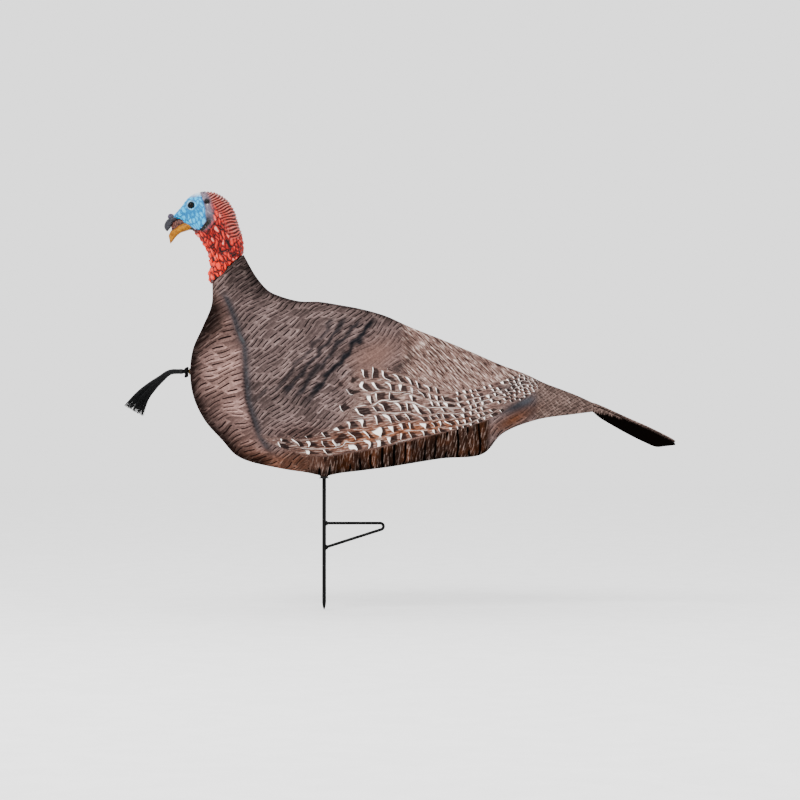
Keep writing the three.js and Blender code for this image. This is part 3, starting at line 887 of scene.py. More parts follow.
MOUTH_PAINT = PlainFinish("mouth_pink_painted_vinyl", "8A564C", "140706", 0.45, 2.2, relief_mm=0.5, shine=0.15)


# ---- the stake ---------------------------------------------------------------------------------


@dataclass
class GroundStake:
    """The welded steel stake."""

    rod_radius: float = 3.175 * MM
    loop_radius: float = 2.35 * MM
    bend_radius: float = 5.2 * MM
    loop_top: float = 43 * MM
    loop_low: float = 4.5 * MM
    point_length: float = 11 * MM
    bar_sides: int = 20

    def build(self) -> None:
        """Make the rod and the welded foot loop, and dress them."""
        steel = POWDER_COAT.material()
        low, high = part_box("stake_rod")
        clear_selection()
        bpy.ops.mesh.primitive_cylinder_add(
            vertices=48, radius=self.rod_radius, depth=high.z - low.z, location=(0, 0, (low.z + high.z) / 2))
        rod = take("pointed_rod", steel)
        bpy.ops.object.mode_set(mode="EDIT")
        bpy.ops.mesh.select_all(action="SELECT")
        bpy.ops.mesh.bisect(plane_co=(0, 0, low.z + self.point_length), plane_no=(0, 0, 1))
        bpy.ops.mesh.select_all(action="SELECT")
        bpy.ops.mesh.bisect(plane_co=(0, 0, low.z + self.point_length * 0.4), plane_no=(0, 0, 1))
        bpy.ops.object.mode_set(mode="OBJECT")
        for vertex in rod.data.vertices:
            rise = (vertex.co.z - low.z) / self.point_length
            if rise < 0.99:
                share = 0.22 + 0.78 * max(rise, 0) ** 0.6
                vertex.co.x *= share
                vertex.co.y *= share
        mount(rod, "stake", "stake_rod")
        mount(self._loop(steel), "stake", "step_loop")
        self._weld("weld_upper", self.loop_top, steel)
        self._weld("weld_lower", self.loop_low, steel)
        LOG.info("stake: rod, foot loop and two welds")

    def _loop(self, steel: bpy.types.Material) -> bpy.types.Object:
        """The bent rod, as one round bar along its line.

        Args:
            steel: its finish.

        Returns:
            The loop.
        """
        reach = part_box("step_loop")[1].y
        bend_y = reach - self.loop_radius - self.bend_radius
        bend_z = self.loop_top - self.bend_radius
        slope = math.atan2(bend_z - self.bend_radius - self.loop_low, bend_y)
        start = self.rod_radius * 0.9
        line = [(start, self.loop_top)] + [(bend_y * k / 6, self.loop_top) for k in range(1, 7)]
        turn = math.pi - slope
        for k in range(1, 13):
            angle = turn * k / 12
            line.append((bend_y + self.bend_radius * math.sin(angle), bend_z + self.bend_radius * math.cos(angle)))
        last = line[-1]
        for k in range(1, 7):
            y = last[0] + (start - last[0]) * k / 6
            line.append((y, last[1] + (self.loop_low - last[1]) * k / 6))
        points = []
        for k, (y, z) in enumerate(line):
            before, after = line[max(k - 1, 0)], line[min(k + 1, len(line) - 1)]
            along = Vector((0, after[0] - before[0], after[1] - before[1])).normalized()
            side = along.cross(Vector((1, 0, 0)))
            for j in range(self.bar_sides):
                angle = 2 * math.pi * j / self.bar_sides
                ring = Vector((1, 0, 0)) * math.cos(angle) + side * math.sin(angle)
                points.append(Vector((0, y, z)) + ring * self.loop_radius)
        faces = grid_faces(len(line), self.bar_sides, True, True)
        faces.append(tuple(range(self.bar_sides)))
        faces.append(tuple(range(len(points) - self.bar_sides, len(points)))[::-1])
        return mesh_piece("foot_loop", np.array(points), faces, steel)

    def _weld(self, name: str, height: float, steel: bpy.types.Material) -> None:
        """A small fillet of weld where a leg meets the rod.

        Args:
            name: the bead's name.
            height: where it is on the rod.
            steel: its finish.
        """
        clear_selection()
        bpy.ops.mesh.primitive_uv_sphere_add(
            segments=24, ring_count=14, radius=1, location=(0, self.rod_radius + 0.7 * MM, height),
            scale=(2.9 * MM, 2.8 * MM, 3.9 * MM))
        mount(take(name, steel), "stake")


# ---- the body ----------------------------------------------------------------------------------


@dataclass
class PrintedBody:
    """The two printed panels, drawn tight over the foam halves and sewn along the back and the belly."""

    rows: int = 380
    columns: int = 116
    cloth: float = 1.0
    seam_dip: float = 1.2
    groove_depth: float = 5.5
    stake_pull: float = 7.0
    stake_hole: float = 6.7
    cord_hole: float = 2.4
    cord_height: float = 285.6
    foam_reach: float = 30 / 34  # the foam stops before the tail's cone

    def build(self, knit: bpy.types.Material, foam: bpy.types.Material) -> None:
        """Make both panels and both foam halves.

        Args:
            knit: the panels' finish.
            foam: the foam's finish.
        """
        outer = self._surface()
        flat = outer.reshape(-1, 3)
        inked = PRINT.paint(flat[:, 1], flat[:, 2], flat[:, 0])
        inner = self._inset(outer, self.cloth)
        until = int(self.rows * self.foam_reach)
        coarse = outer[:until:4, ::4]
        for name, side in (("left", 1), ("right", -1)):
            panel = self._closed(f"printed_panel_{name}", outer, inner, side, knit)
            dress_points(panel, {key: np.vstack([values, values]) for key, values in inked.items()})
            mount(panel, "body", f"skin_{name}")
            foam_outer = self._inset(coarse, 2.7, self.stake_hole + 2.3)
            foam_inner = self._foam_inside(coarse, foam_outer)
            half = self._closed(f"foam_half_{name}", foam_outer, foam_inner, side, foam)
            mount(half, "body", f"foam_{name}")
            LOG.info("printed panel and foam %s: %d faces", name, len(panel.data.polygons))

    def _surface(self) -> np.ndarray:
        """The left panel's outer face, with the relief of the body under it.

        Returns:
            A grid of points, in millimetres.
        """
        points = BODY.grid(np.linspace(0, 1, self.rows), np.linspace(0, math.pi, self.columns))
        normals = self._normals(points)
        x, y, z = points[..., 0], points[..., 1], points[..., 2]
        behind = PRINT.groove_offset(y, z)
        lift = -self.groove_depth * np.exp(-((behind - 3) / 9) ** 2) * smooth(416, 380, z) * smooth(165, 225, z)
        lift *= smooth(12, 34, x)
        # the breast swells just before the groove, and the wing stands a little proud of the flank
        swell = np.exp(-((behind + 24) / 16) ** 2) * smooth(400, 340, z) * smooth(170, 230, z)
        lift += 2.0 * swell * smooth(12, 34, x)
        foot = np.interp(y, PRINT.wing_foot[:, 0], PRINT.wing_foot[:, 1])
        lift -= 1.8 * smooth(6, -4, z - foot) * smooth(-90, -50, y) * smooth(300, 250, y) * smooth(5, 25, x)
        # slow unevenness of stretched cloth over cut foam
        lift += 0.6 * np.sin(y / 17 + z / 29) * np.sin(z / 21 - y / 37) * smooth(4, 20, x)
        # fine pulls that fan out from the stake
        away = np.hypot(y, x)
        under = smooth(175, 150, z)
        lift += 0.7 * np.sin(9 * np.arctan2(x, y + 1e-6)) * np.exp(-away / 45) * under * smooth(6, 14, away)
        # the fabric dips into the sewn seams
        lift -= self.seam_dip * np.exp(-(x / 2.2) ** 2)
        points += normals * lift[..., None]
        rise = np.exp(-(y / 62) ** 2) - np.exp(-(away / 15) ** 1.5)
        points[..., 2] += self.stake_pull * rise * under
        self._open(points, self.stake_hole, self.cord_hole)
        points[..., 0] = np.maximum(points[..., 0], 0.12)
        return points

    @staticmethod
    def _normals(points: np.ndarray) -> np.ndarray:
        """Outward normals of a panel's grid, kept in the middle plane along its seams.

        Args:
            points: the grid.

        Returns:
            A unit normal for each point.
        """
        normals = grid_normals(points)
        if normals[len(points) // 2, points.shape[1] // 2, 0] < 0:
            normals = -normals
        normals[:, [0, -1], 0] = 0
        return normals

    def _open(self, points: np.ndarray, stake: float, cord: float) -> None:
        """Push a grid's points out of the holes for the stake and the beard's cord.

        Args:
            points: the grid, changed in place.
            stake: radius of the stake's hole.
            cord: radius of the cord's hole.
        """
        for a, b, height, radius, where in (
                (0, 1, 0.0, stake, points[..., 2] < 200),
                (0, 2, self.cord_height, cord, points[..., 1] < -190)):
            across, up = points[..., a], points[..., b] - height
            reach = np.maximum(np.hypot(across, up), 1e-6)
            push = np.where(where & (reach < radius), radius / reach, 1.0)
            points[..., a] = across * push
            points[..., b] = up * push + height

    def _inset(self, points: np.ndarray, depth: float, stake: float = 0.0) -> np.ndarray:
        """The same grid, drawn in by a depth.

        Args:
            points: the grid.
            depth: how far it is drawn in.
            stake: least radius of the stake's hole.

        Returns:
            The new grid.
        """
        drawn = points - self._normals(points) * depth
        self._open(drawn, max(stake, self.stake_hole), self.cord_hole)
        drawn[..., 0] = np.maximum(drawn[..., 0], 0.15)
        return drawn

    def _foam_inside(self, outer: np.ndarray, foam_outer: np.ndarray) -> np.ndarray:
        """The foam's inner face: a wall of up to 10 mm that thins with the body's width.

        Args:
            outer: the skin's outer grid.
            foam_outer: the foam's outer grid.

        Returns:
            The new grid.
        """
        width = outer[..., 0].max(axis=1)[:, None, None]
        wall = np.minimum(10, 0.2 * width)
        drawn = foam_outer - self._normals(outer) * wall * 0.9
        self._open(drawn, self.stake_hole + 2.3, self.cord_hole)
        drawn[..., 0] = np.maximum(drawn[..., 0], 0.15)
        return drawn

    @staticmethod
    def _closed(name: str, outer: np.ndarray, inner: np.ndarray, side: int,
                material: bpy.types.Material) -> bpy.types.Object:
        """One closed body between two grids, on one side of the bird.

        Args:
            name: the piece's name.
            outer: its outer grid.
            inner: its inner grid.
            side: 1 for the left and -1 for the right.
            material: its finish.

        Returns:
            The piece.
        """
        rows, columns = outer.shape[:2]
        points = np.vstack([outer.reshape(-1, 3), inner.reshape(-1, 3)]) * np.array([side, 1, 1])
        count = rows * columns
        face = grid_faces(rows, columns, False, side > 0)
        faces = face + [tuple(n + count for n in quad[::-1]) for quad in face]
        rim = [i * columns for i in range(rows)] + [(rows - 1) * columns + j for j in range(1, columns)]
        rim += [i * columns + columns - 1 for i in range(rows - 2, -1, -1)] + list(range(columns - 2, 0, -1))
        for k, here in enumerate(rim):
            then = rim[(k + 1) % len(rim)]
            faces.append((here, then, then + count, here + count))
        piece = mesh_piece(name, points * MM, faces, material)
        turn_outwards(piece)
        return piece


@dataclass
class TailPanel:
    """The tail: a printed top and a black lining sewn round a plastic stay, in a shallow trough."""

    stations: tuple[tuple[float, ...], ...] = (
        (429.5, 235.6, 221.2, 34), (441, 232, 211.5, 37), (460, 223.5, 200, 43), (485, 212, 186, 50),
        (510, 201, 173.5, 54), (531, 191, 165, 54), (545, 184, 166, 48), (555, 178.5, 167, 37),
        (560, 175.5, 167.8, 22))
    rows: int = 120
    columns: int = 90
    depth: float = 7.2
    cloth: float = 2.2
    hem: float = 3.2

    def build(self, knit: bpy.types.Material) -> None:
        """Make both layers.

        Args:
            knit: their finish. The lining is printed black on the same cloth.
        """
        top = self._layer("tail_printed_top", 0.0, self.cloth, knit)
        mount(top, "body", "tail_top")
        lining = self._layer("tail_black_lining", self.depth - self.cloth, self.depth, knit, lined=True)
        mount(lining, "body", "tail_lining")
        LOG.info("tail: two layers")

    def _layer(self, name: str, upper: float, lower: float, knit: bpy.types.Material,
               lined: bool = False) -> bpy.types.Object:
        """One closed layer between two depths below the top face.

        Args:
            name: the piece's name.
            upper: depth of its upper face.
            lower: depth of its lower face.
            knit: its finish.
            lined: whether it is the black lining.

        Returns:
            The layer.
        """
        rows = spline(np.array(self.stations, dtype=float), np.linspace(0, 1, self.rows))
        across = np.linspace(1, -1, self.columns)
        y = np.repeat(rows[:, :1], self.columns, axis=1)
        x = rows[:, 3:4] * across
        middle = rows[:, 2:3] + self.depth
        # the printed layer's hem meets the top of the body's cone before it dips into the trough
        hem = 0.0 if lined else smooth(450, 431, rows[:, :1])
        middle = middle + (rows[:, 1:2] - middle) * hem
        lower = lower + self.hem * hem
        face = middle + (rows[:, 1:2] - middle) * across ** 2
        closing = np.sqrt(np.clip(1 - np.abs(across) ** 24, 0, 1))
        half = (lower - upper) / 2 * np.maximum(closing, 0.04)
        core = face - (upper + lower) / 2
        ring_x = np.hstack([x, x[:, ::-1]])
        ring_y = np.hstack([y, y])
        ring_z = np.hstack([core - half, (core + half)[:, ::-1]])
        points = np.stack([ring_x, ring_y, ring_z], axis=-1).reshape(-1, 3)
        count = 2 * self.columns
        faces = grid_faces(self.rows, count, True, True)
        faces.append(tuple(range(count)))
        faces.append(tuple(range(len(points) - count, len(points)))[::-1])
        piece = mesh_piece(name, points * MM, faces, knit)
        inked = PRINT.paint(points[:, 1], points[:, 2], points[:, 0])
        if lined:
            # the print wraps under the root, with a ragged end where the black lining is sewn on
            ragged = 1.6 * np.sin(points[:, 1] * 1.7) + 1.1 * np.sin(points[:, 1] * 4.1)
            border = np.interp(points[:, 1], (429, 450, 500), (221, 217.5, 204)) + ragged
            black = smooth(-0.8, 0.8, border - points[:, 2])[:, None]
            inked["ground"] = inked["ground"] * (1 - black) + np.array(albedo("0B0706")) * black
            inked["ink"] = inked["ink"] * (1 - black) + np.array(albedo("050303")) * black
            inked["marks"] = inked["marks"] * (1 - black)
        dress_points(piece, inked)
        return piece


# ---- the head ----------------------------------------------------------------------------------


@dataclass
class MouldedHead:
    """The moulded head: blue face, warty red neck, ringed nape, beak, snood and glass eyes."""

    rows: int = 300
    columns: int = 240
    eye: tuple[float, float, float] = (16.4, -211.4, 550.4)
    eye_radius: float = 6.1
    ear: tuple[float, float, float] = (21, -186, 557)
    caruncle: float = 6.0
    ring_pitch: float = 5.0
    upper_beak: Loft = field(default_factory=lambda: Loft([
        (-233, 537, -237, 526.5, 8), (-241, 535.5, -240.5, 525, 8), (-248.5, 531, -242.5, 521.5, 7.2),
        (-254, 524.5, -244.5, 517.5, 6), (-255.9, 517, -247, 514, 4.4), (-253.4, 511.2, -250.6, 509.8, 1.6)]))
    lower_beak: Loft = field(default_factory=lambda: Loft([
        (-211, 526, -211, 513, 9.4), (-221, 525, -221.5, 510, 9), (-229.4, 522, -230, 506.8, 8),
        (-237.6, 517, -237.4, 500.4, 6.4), (-244.8, 511, -242.6, 493.6, 4.4), (-248.8, 503.5, -246, 489.8, 1.8)]))
    mouth: Loft = field(default_factory=lambda: Loft([
        (-209, 529, -209, 519, 6), (-219, 530, -219, 517, 6.5), (-228, 531.5, -228, 516, 6.4),
        (-236, 530.5, -235, 512, 6), (-241.5, 526, -239.5, 508, 5), (-244.5, 518, -243, 509, 3)]))

    def build(self) -> None:
        """Make the head and everything set in it."""
        mount(self._shell(), "head", "head_shell")
        for name, loft, finish, slot, node in (
                ("hooked_upper_beak", self.upper_beak, BEAK_HORN, "dark_beak", "upper_beak"),
                ("ochre_lower_beak", self.lower_beak, BEAK_OCHRE, "ochre_beak", "lower_beak"),
                ("mouth_and_tongue", self.mouth, MOUTH_PAINT, "snood", "")):
            mount(self._beak(name, loft, finish.material()), "head", node)
        mount(self._snood(), "head", "snood")
        glass = EYE_GLASS.material()
        for name, side in (("left", 1), ("right", -1)):
            clear_selection()
            bpy.ops.mesh.primitive_uv_sphere_add(
                segments=48, ring_count=32, radius=self.eye_radius * MM,
                location=(side * self.eye[0] * MM, self.eye[1] * MM, self.eye[2] * MM))
            mount(take(f"glass_eye_{name}", glass), "head", f"eye_{name}")
        LOG.info("head: shell, beaks, snood and eyes")

    def _shell(self) -> bpy.types.Object:
        """The head's skin, closed at the beak and turned in at the neck.

        Returns:
            The shell, with its paint attribute.
        """
        along = np.linspace(0, 1, self.rows)
        angles = 2 * math.pi * np.arange(self.columns) / self.columns
        points = HEAD.grid(along, angles)
        normals = np.cross(np.gradient(points, axis=0), np.roll(points, -1, 1) - np.roll(points, 1, 1))
        normals /= np.maximum(np.linalg.norm(normals, axis=-1, keepdims=True), 1e-9)
        middle = points.mean(axis=1, keepdims=True)
        normals *= np.sign(np.sum(normals * (points - middle), axis=-1, keepdims=True))
        flat = points.reshape(-1, 3)
        x, y, z = flat.T
        face = self._face(y, z)
        travel = np.linalg.norm(np.diff(points[:, 0], axis=0), axis=1)
        down = np.repeat(np.concatenate([[0], np.cumsum(travel)]), self.columns)
        warp = 1.5 * np.sin(z / 5.3 + x / 4.1) + 1.1 * np.sin(y / 3.7 - z / 7.9)
        lump, luck = blobs(np.c_[x * 1.15 + 0.6 * warp, y * 1.1 + z * 0.3 + warp, z * 0.52], self.caruncle, 11)
        pebble, _ = blobs(np.c_[x, y + z * 0.35, z * 0.62], 3.6, 13)
        lump = np.clip(lump * (0.74 + 0.45 * pebble), 0, 1)
        fine, _ = blobs(flat, 2.4, 12)
        nape = smooth(0.2, 0.72, np.cos(np.tile(angles, self.rows))) * smooth(24, 34, down) * (1 - face)
        waver = 1.1 * np.sin(x / 4.2 + down / 9) + 0.9 * np.sin(x / 2.3 - down / 6)
        rings = 0.5 + 0.5 * np.sin(2 * math.pi * down / self.ring_pitch + waver)
        warty = (1 - face) * (1 - nape)
        bib = smooth(476, 452, z + 0.9 * (y + 154))
        lift = warty * (lump * (2.3 + 1.6 * bib) + 0.5 * fine - 2.0 + 0.6 * bib)
        lift += nape * (1.7 * rings + 0.7 * lump - 1.3) + face * (0.5 * fine + 0.7 * lump - 0.6)
        # the cheek's crease, from the ear down to the jaw's corner
        border = self._border(z)
        crease = np.exp(-((y - border - 4) / 3.2) ** 2) * smooth(540, 528, z) * smooth(505, 512, z)
        lift -= 1.5 * crease
        reach = np.sqrt((y - self.eye[1]) ** 2 + (z - self.eye[2]) ** 2)
        on_side = smooth(8, 14, np.abs(x))
        lift += on_side * (0.7 * np.exp(-((reach - 7.6) / 1.4) ** 2) - 1.6 * np.exp(-(reach / 5.5) ** 4))
        ear = np.hypot(y - self.ear[1], z - self.ear[2])
        lift += on_side * (0.9 * np.exp(-((ear - 6) / 1.6) ** 2) - 2.8 * np.exp(-(ear / 4.2) ** 3))
        # the brow is fuller than the plain loft
        lift += 2.6 * np.exp(-((y + 212) / 13) ** 2) * smooth(0.2, 0.8, np.cos(np.tile(angles, self.rows)))
        # the bib's rim is lobed, and hangs just over the neck of the fabric
        rim = smooth(13, 0, down) * smooth(-0.4, 0.1, -np.cos(np.tile(angles, self.rows)))
        lobes = 0.5 + 0.5 * np.sin(7 * np.tile(angles, self.rows) + 0.8)
        lift += rim * (1.2 + 1.6 * lobes)
        moved = flat + normals.reshape(-1, 3) * lift[:, None]
        moved += (rim * (0.8 + 2.6 * lobes))[:, None] * np.array([0, 0.67, -0.74])
        count = self.columns
        inner = points[0] + (middle[0] - points[0]) * 0.16
        moved = np.vstack([inner, moved])
        faces = grid_faces(self.rows + 1, count, True, False)
        faces.append(tuple(range(len(moved) - count, len(moved))))
        shell = mesh_piece("painted_head_shell", moved * MM, faces, PaintedVinyl().material())
        paint = self._paint(x, y, z, lump, luck, rings, nape, face, reach, ear, on_side)
        point_colours(shell, "paint", np.vstack([paint[:count], paint]))
        turn_outwards(shell)
        return shell

    @staticmethod
    def _border(z: np.ndarray) -> np.ndarray:
        """Where the bare blue face ends at the back.

        Args:
            z: heights.

        Returns:
            The border's place along the bird at each height.
        """
        return np.interp(z, (508, 514, 525, 545, 562, 575), (-204, -196, -188, -189, -194, -200))

    def _face(self, y: np.ndarray, z: np.ndarray) -> np.ndarray:
        """The bare blue face: everything before a line from the crown to the jaw's corner.

        Args:
            y: the points' places along the bird.
            z: their heights.

        Returns:
            A share from 0 to 1 for each point.
        """
        return smooth(1.5, -1.5, y - self._border(z)) * smooth(509, 513, z + 0.42 * (y + 200))

    def _paint(self, x: np.ndarray, y: np.ndarray, z: np.ndarray, lump: np.ndarray, luck: np.ndarray,
               rings: np.ndarray, nape: np.ndarray, face: np.ndarray, reach: np.ndarray, ear: np.ndarray,
               on_side: np.ndarray) -> np.ndarray:
        """The head's paint: red with painted shade in its creases and painted highlights on its crowns, a slate
        crown and cheek, and the sky-blue face.

        Args:
            x: the points' distances from the middle.
            y: their places along the bird.
            z: their heights.
            lump: height of the warts, from 0 to 1.
            luck: a random share for each wart.
            rings: height of the nape's rings, from 0 to 1.
            nape: share of the ringed nape.
            face: share of the blue face.
            reach: distance from the eye.
            ear: distance from the ear.
            on_side: share of the head's sides.

        Returns:
            A linear colour for each point.
        """

        def mixed(under: np.ndarray, over: object, share: np.ndarray) -> np.ndarray:
            """One colour laid over another.

            Args:
                under: the colours under it.
                over: the colour, as six hex digits or as linear light.
                share: its share at each point.

            Returns:
                The mixed colours.
            """
            over = np.array(albedo(over)) if isinstance(over, str) else over
            return under * (1 - share[:, None]) + over * share[:, None]

        bib = smooth(470, 448, z + 0.9 * (y + 154))
        # painted shade: the red falls to near black in the creases between the warts
        red = mixed(np.tile(albedo("140202"), (len(x), 1)), "BE1710", smooth(0.05, 0.36, lump))
        red = mixed(red, np.array(albedo("FF4632", 0.75)), smooth(0.35, 0.8, lump) * (0.3 + 0.7 * luck))
        # painted highlights: pale pink tips on the crowns of some of the warts
        crown_highlights = smooth(0.6, 0.85, lump) * smooth(0.62, 0.75, luck)
        red = mixed(red, "FFC4B4", 0.75 * crown_highlights)
        red = mixed(red, np.array(albedo("FF3410", 0.8)), 0.7 * bib * smooth(0.1, 0.6, lump))
        # the nape's ridged rings: painted shade between them and painted highlights on their crowns, stronger
        # towards the top
        banded = mixed(np.tile(albedo("3A0A08"), (len(x), 1)), "E0584A", smooth(0.25, 0.85, rings))
        banded = mixed(banded, "FFC8BC", smooth(0.75, 1.0, rings) * luck * (0.35 + 0.6 * smooth(540, 562, z)))
        red = mixed(red, banded, nape)
        # a mauve and white band behind the ear, its white partly painted highlights on the crowns of its warts,
        # which turns olive-black in the cheek's crease
        behind = y - self._border(z)
        strip = smooth(17, 7, behind + 3 * (luck - 0.5)) * (1 - face) * smooth(505, 512, z)
        mauve = mixed(np.tile(albedo("4A4458"), (len(x), 1)), "A89AA8", luck)
        mauve = mixed(mauve, "F4E8E8", 0.8 * crown_highlights + 0.3 * smooth(0.6, 1, luck) * smooth(0.3, 1, lump))
        mauve = mixed(mauve, "221F1B", smooth(540, 522, z) * smooth(14, 6, behind))
        colour = mixed(red, mauve, strip * smooth(-150, -162, y))
        # painted shade and highlights: the face's blue darkens in its creases and brightens on its crowns
        blue = mixed(np.tile(albedo("0084CA", 0.5), (len(x), 1)), np.array(albedo("00BEFA", 0.72)),
                     smooth(0.1, 0.6, lump))
        # painted highlights: pale streaks on the crowns of some of the face's wrinkles
        blue = mixed(blue, "B8ECFF", 0.5 * smooth(0.8, 0.92, luck) * smooth(0.3, 0.8, lump))
        blue = mixed(blue, np.array(albedo("F4F8FA", 0.8)), 0.7 * smooth(564, 572, z - 0.2 * (y + 190)))
        colour = mixed(colour, blue, face)
        eye_ring = on_side * np.exp(-((reach - 6.6) / 0.6) ** 2)
        colour = mixed(colour, np.array(albedo("C8ECFA", 0.7)), 0.45 * eye_ring)
        colour = mixed(colour, "0C0706", on_side * np.exp(-(ear / 5.0) ** 6))
        return np.clip(colour, 0, 1)

    def _beak(self, name: str, loft: Loft, material: bpy.types.Material) -> bpy.types.Object:
        """A smooth closed form along its loft.

        Args:
            name: the piece's name.
            loft: its stations.
            material: its finish.

        Returns:
            The piece.
        """
        rows, count = 60, 40
        points = loft.grid(np.linspace(0, 1, rows), 2 * math.pi * np.arange(count) / count).reshape(-1, 3)
        faces = grid_faces(rows, count, True, False)
        faces.append(tuple(range(count)))
        faces.append(tuple(range(len(points) - count, len(points))))
        piece = mesh_piece(name, points * MM, faces, material)
        turn_outwards(piece)
        return piece

    def _snood(self) -> bpy.types.Object:
        """The wrinkled stub on the beak's root.

        Returns:
            The stub.
        """
        low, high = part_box("snood")
        clear_selection()
        bpy.ops.mesh.primitive_uv_sphere_add(
            segments=40, ring_count=28, radius=1, location=(low + high) / 2, rotation=(-0.5, 0, 0),
            scale=((high.x - low.x) / 2, (high.y - low.y) / 2, (high.z - low.z) / 2.7))
        stub = take("wrinkled_snood", SNOOD_PAINT.material())
        for vertex in stub.data.vertices:
            vertex.co.z += 0.25 * MM * math.sin(vertex.co.y * 3400)
        return stub


# ---- the beard ---------------------------------------------------------------------------------


@dataclass
class BristleBeard:
    """The beard: a crimped bundle of stiff bristles, tied to the breast with cord."""

    count: int = 330
    steps: int = 16
    line: tuple[tuple[float, ...], ...] = (
        (-227, 285.6, 3.2, 3.2), (-246.6, 284.4, 4.0, 4.0), (-261, 274, 5.4, 4.8), (-276, 261.5, 8, 5.6),
        (-291.4, 245.5, 11.5, 6.2), (-305.5, 222.5, 17.5, 6.8))
    # each turn of cord: how far behind and above the knot's middle, radius, turn and tilt
    knot_turns: tuple[tuple[float, ...], ...] = (
        (-4.4, 0, 1.7, 1.57, 0), (-2.2, 0, 1.7, 1.57, 0), (0, 0, 1.7, 1.57, 0), (0, 0, 3.4, 1.57, 0),
        (1.2, 1.5, 3.2, 1.2, 0.5), (-1.6, -1, 3.2, 1.9, -0.5), (0.4, 4.6, 2.6, 0.5, 0.3),
        (0.2, -6.2, 2.8, 0.9, -0.6), (0.6, -5.4, 2.4, 2.2, 0.2))
    # the same cord's turns behind the knot, which stay with the breast
    stub_turns: tuple[tuple[float, ...], ...] = (
        (2.2, 0, 1.7, 1.57, 0), (4.4, 0, 1.7, 1.57, 0), (6.6, 0, 1.7, 1.57, 0))
    cord_radius: float = 1.5
    strand_radius: float = 0.48
    strand_sides: int = 4

    def build(self) -> None:
        """Make the bristles, the knot, and the stub of cord behind it."""
        mount(self._bristles(), "beard", "beard_bristles")
        cord = BLACK_CORD.material()
        low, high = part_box("beard_knot")
        centre = (low + high) / 2
        mount(self._lashing("tied_cord_knot", centre, self.knot_turns, cord), "beard", "beard_knot")
        mount(self._lashing("whipped_cord_stub", centre, self.stub_turns, cord), "body")
        LOG.info("beard: %d bristles", self.count)

    def _bristles(self) -> bpy.types.Object:
        """All the bristles, as one piece of thin tapered strands.

        Returns:
            The bundle.
        """
        rng = np.random.default_rng(7)
        stations = np.array(self.line)
        points, faces = [], []
        for _ in range(self.count):
            deep = rng.uniform(-1, 1)
            wide = rng.uniform(-1, 1) * math.sqrt(1 - deep ** 2)
            reach = 1.0 - 0.13 * rng.random() ** 2
            rows = spline(stations, np.linspace(0, reach, self.steps))
            bend = rng.normal(0, 0.05, 2)
            for k, (y, z, half_deep, half_wide) in enumerate(rows):
                ahead = rows[min(k + 1, self.steps - 1)] - rows[max(k - 1, 0)]
                along = Vector((0, ahead[0], ahead[1])).normalized()
                across = along.cross(Vector((1, 0, 0)))
                share = k / (self.steps - 1)
                centre = Vector((0, y, z)) + across * half_deep * (deep + bend[0] * share ** 2)
                centre.x = half_wide * (wide + bend[1] * share ** 2)
                thick = self.strand_radius * (1 - 0.5 * share)
                for corner in range(self.strand_sides):
                    turn = 2 * math.pi * corner / self.strand_sides
                    points.append(centre + (across * math.cos(turn) + Vector((1, 0, 0)) * math.sin(turn)) * thick)
            first = len(points) - self.strand_sides * self.steps
            for quad in grid_faces(self.steps, self.strand_sides, True, False):
                faces.append(tuple(first + n for n in quad))
            faces.append(tuple(first + n for n in reversed(range(self.strand_sides))))
            faces.append(tuple(len(points) - self.strand_sides + n for n in range(self.strand_sides)))
        piece = mesh_piece("nylon_bristles", np.array([tuple(p) for p in points]) * MM, faces, BRISTLE.material())
        turn_outwards(piece)
        return piece

    def _lashing(self, name: str, centre: Vector, turns: tuple[tuple[float, ...], ...],
                 material: bpy.types.Material) -> bpy.types.Object:
        """Round turns of cord about one place, joined as one piece.

        Args:
            name: the piece's name.
            centre: the place, in metres.
            turns: how far behind and above the place each turn is, its radius in millimetres, and its
                turn and tilt in radians.
            material: the cord's finish.

        Returns:
            The piece.
        """
        clear_selection()
        made = []
        for behind, rise, radius, turn, tilt in turns:
            bpy.ops.mesh.primitive_torus_add(
                major_segments=40, minor_segments=14, major_radius=radius * MM,
                minor_radius=self.cord_radius * MM,
                location=centre + Vector((0, behind, rise)) * MM, rotation=(turn, tilt, 0))
            made.append(take(f"turn_{len(made)}", material))
            clear_selection()
        for each in made:
            each.select_set(True)
        bpy.context.view_layer.objects.active = made[0]
        bpy.ops.object.join()
        knot = bpy.context.object
        knot.name = name
        clear_selection()
        return knot


# ---- carried-over pieces, stage and main -------------------------------------------------------

CARRIED = {
    "swivel_cap": NYLON, "neck_peg": NYLON, "foam_core": GREY_FOAM, "stake_socket": BLACK_ABS,
    "belly_bush": BLACK_ABS, "tail_stay": BLACK_ABS, "neck_plug": BLACK_ABS, "head_plug": BLACK_ABS,
    "peg_washer": ZINC_PLATE, "breast_eyelet": DULL_BRASS, "beard_anchor": BLACK_CORD, "beard_ferrule": BRISTLE,
}


def dress_carried() -> None:
    """Give each node that stays in view or inside the body its own finish."""
    made = {}
    for node, finish in CARRIED.items():
        made.setdefault(finish.name, finish.material())
        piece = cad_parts[node]
        piece.data.materials.clear()
        piece.data.materials.append(made[finish.name])
    LOG.info("dressed %d carried nodes", len(CARRIED))


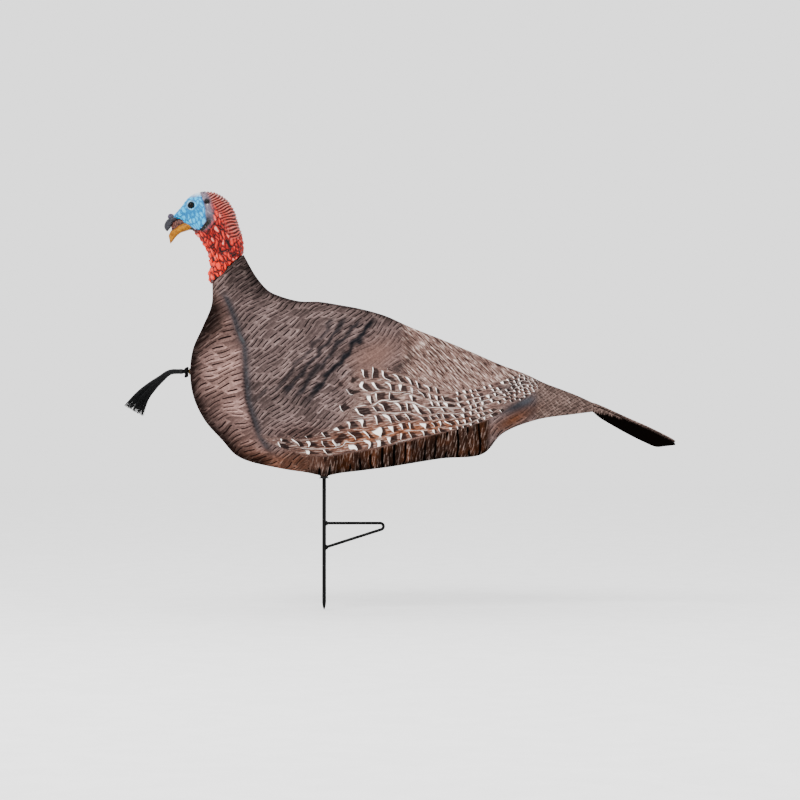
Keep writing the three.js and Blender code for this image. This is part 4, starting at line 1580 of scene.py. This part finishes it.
@dataclass
class Studio:
    """A plain pale floor and soft light, and a camera square to the bird's left side."""

    look_at: tuple[float, float, float] = (0, 0.1214, 0.240)
    distance: float = 4.8
    view_width: float = 1.28
    sensor: float = 36.0

    def build(self) -> None:
        """Make the camera, the floor, the world and the lights."""
        camera_data = bpy.data.cameras.new("camera")
        camera_data.sensor_width = self.sensor
        camera_data.lens = self.sensor * self.distance / self.view_width
        camera = bpy.data.objects.new("camera", camera_data)
        bpy.context.scene.collection.objects.link(camera)
        camera.location = Vector(self.look_at) + Vector((self.distance, 0, 0))
        camera.rotation_euler = (math.pi / 2, 0, math.pi / 2)
        bpy.context.scene.camera = camera
        paper = PlainFinish("white_paper_floor", "FFFFFF", "FAFAFA", 0.95, 40, level=1.0, shine=0.0).material()
        clear_selection()
        bpy.ops.mesh.primitive_plane_add(size=14, location=(0, 0, CAD_BOX[0][2] - 0.001))
        take("floor", paper)
        world = bpy.data.worlds.new("studio")
        bpy.context.scene.world = world
        world.use_nodes = True
        world.node_tree.nodes["Background"].inputs[0].default_value = (1, 1, 1, 1)
        world.node_tree.nodes["Background"].inputs[1].default_value = 1.9
        self._light("key", (2.2, -1.2, 2.5), 1.4, 95)
        self._light("fill", (2.4, 1.8, 1.2), 2.0, 20)

    def _light(self, name: str, place: tuple[float, float, float], size: float, power: float) -> None:
        """One soft square light aimed at the bird.

        Args:
            name: the light's name.
            place: where it is, in metres.
            size: its side, in metres.
            power: its power, in watts.
        """
        data = bpy.data.lights.new(name, "AREA")
        data.size = size
        data.energy = power
        light = bpy.data.objects.new(name, data)
        bpy.context.scene.collection.objects.link(light)
        light.location = place
        aim = Vector(self.look_at) - Vector(place)
        light.rotation_euler = aim.to_track_quat("-Z", "Y").to_euler()


def main() -> None:
    """Build every part of the decoy's looks in order."""
    Studio().build()
    knit = PrintedKnit().material()
    GroundStake().build()
    PrintedBody().build(knit, GREY_FOAM.material())
    TailPanel().build(knit)
    MouldedHead().build()
    BristleBeard().build()
    dress_carried()


if __name__ == "__main__":
    logging.basicConfig(level=logging.INFO)
    main()
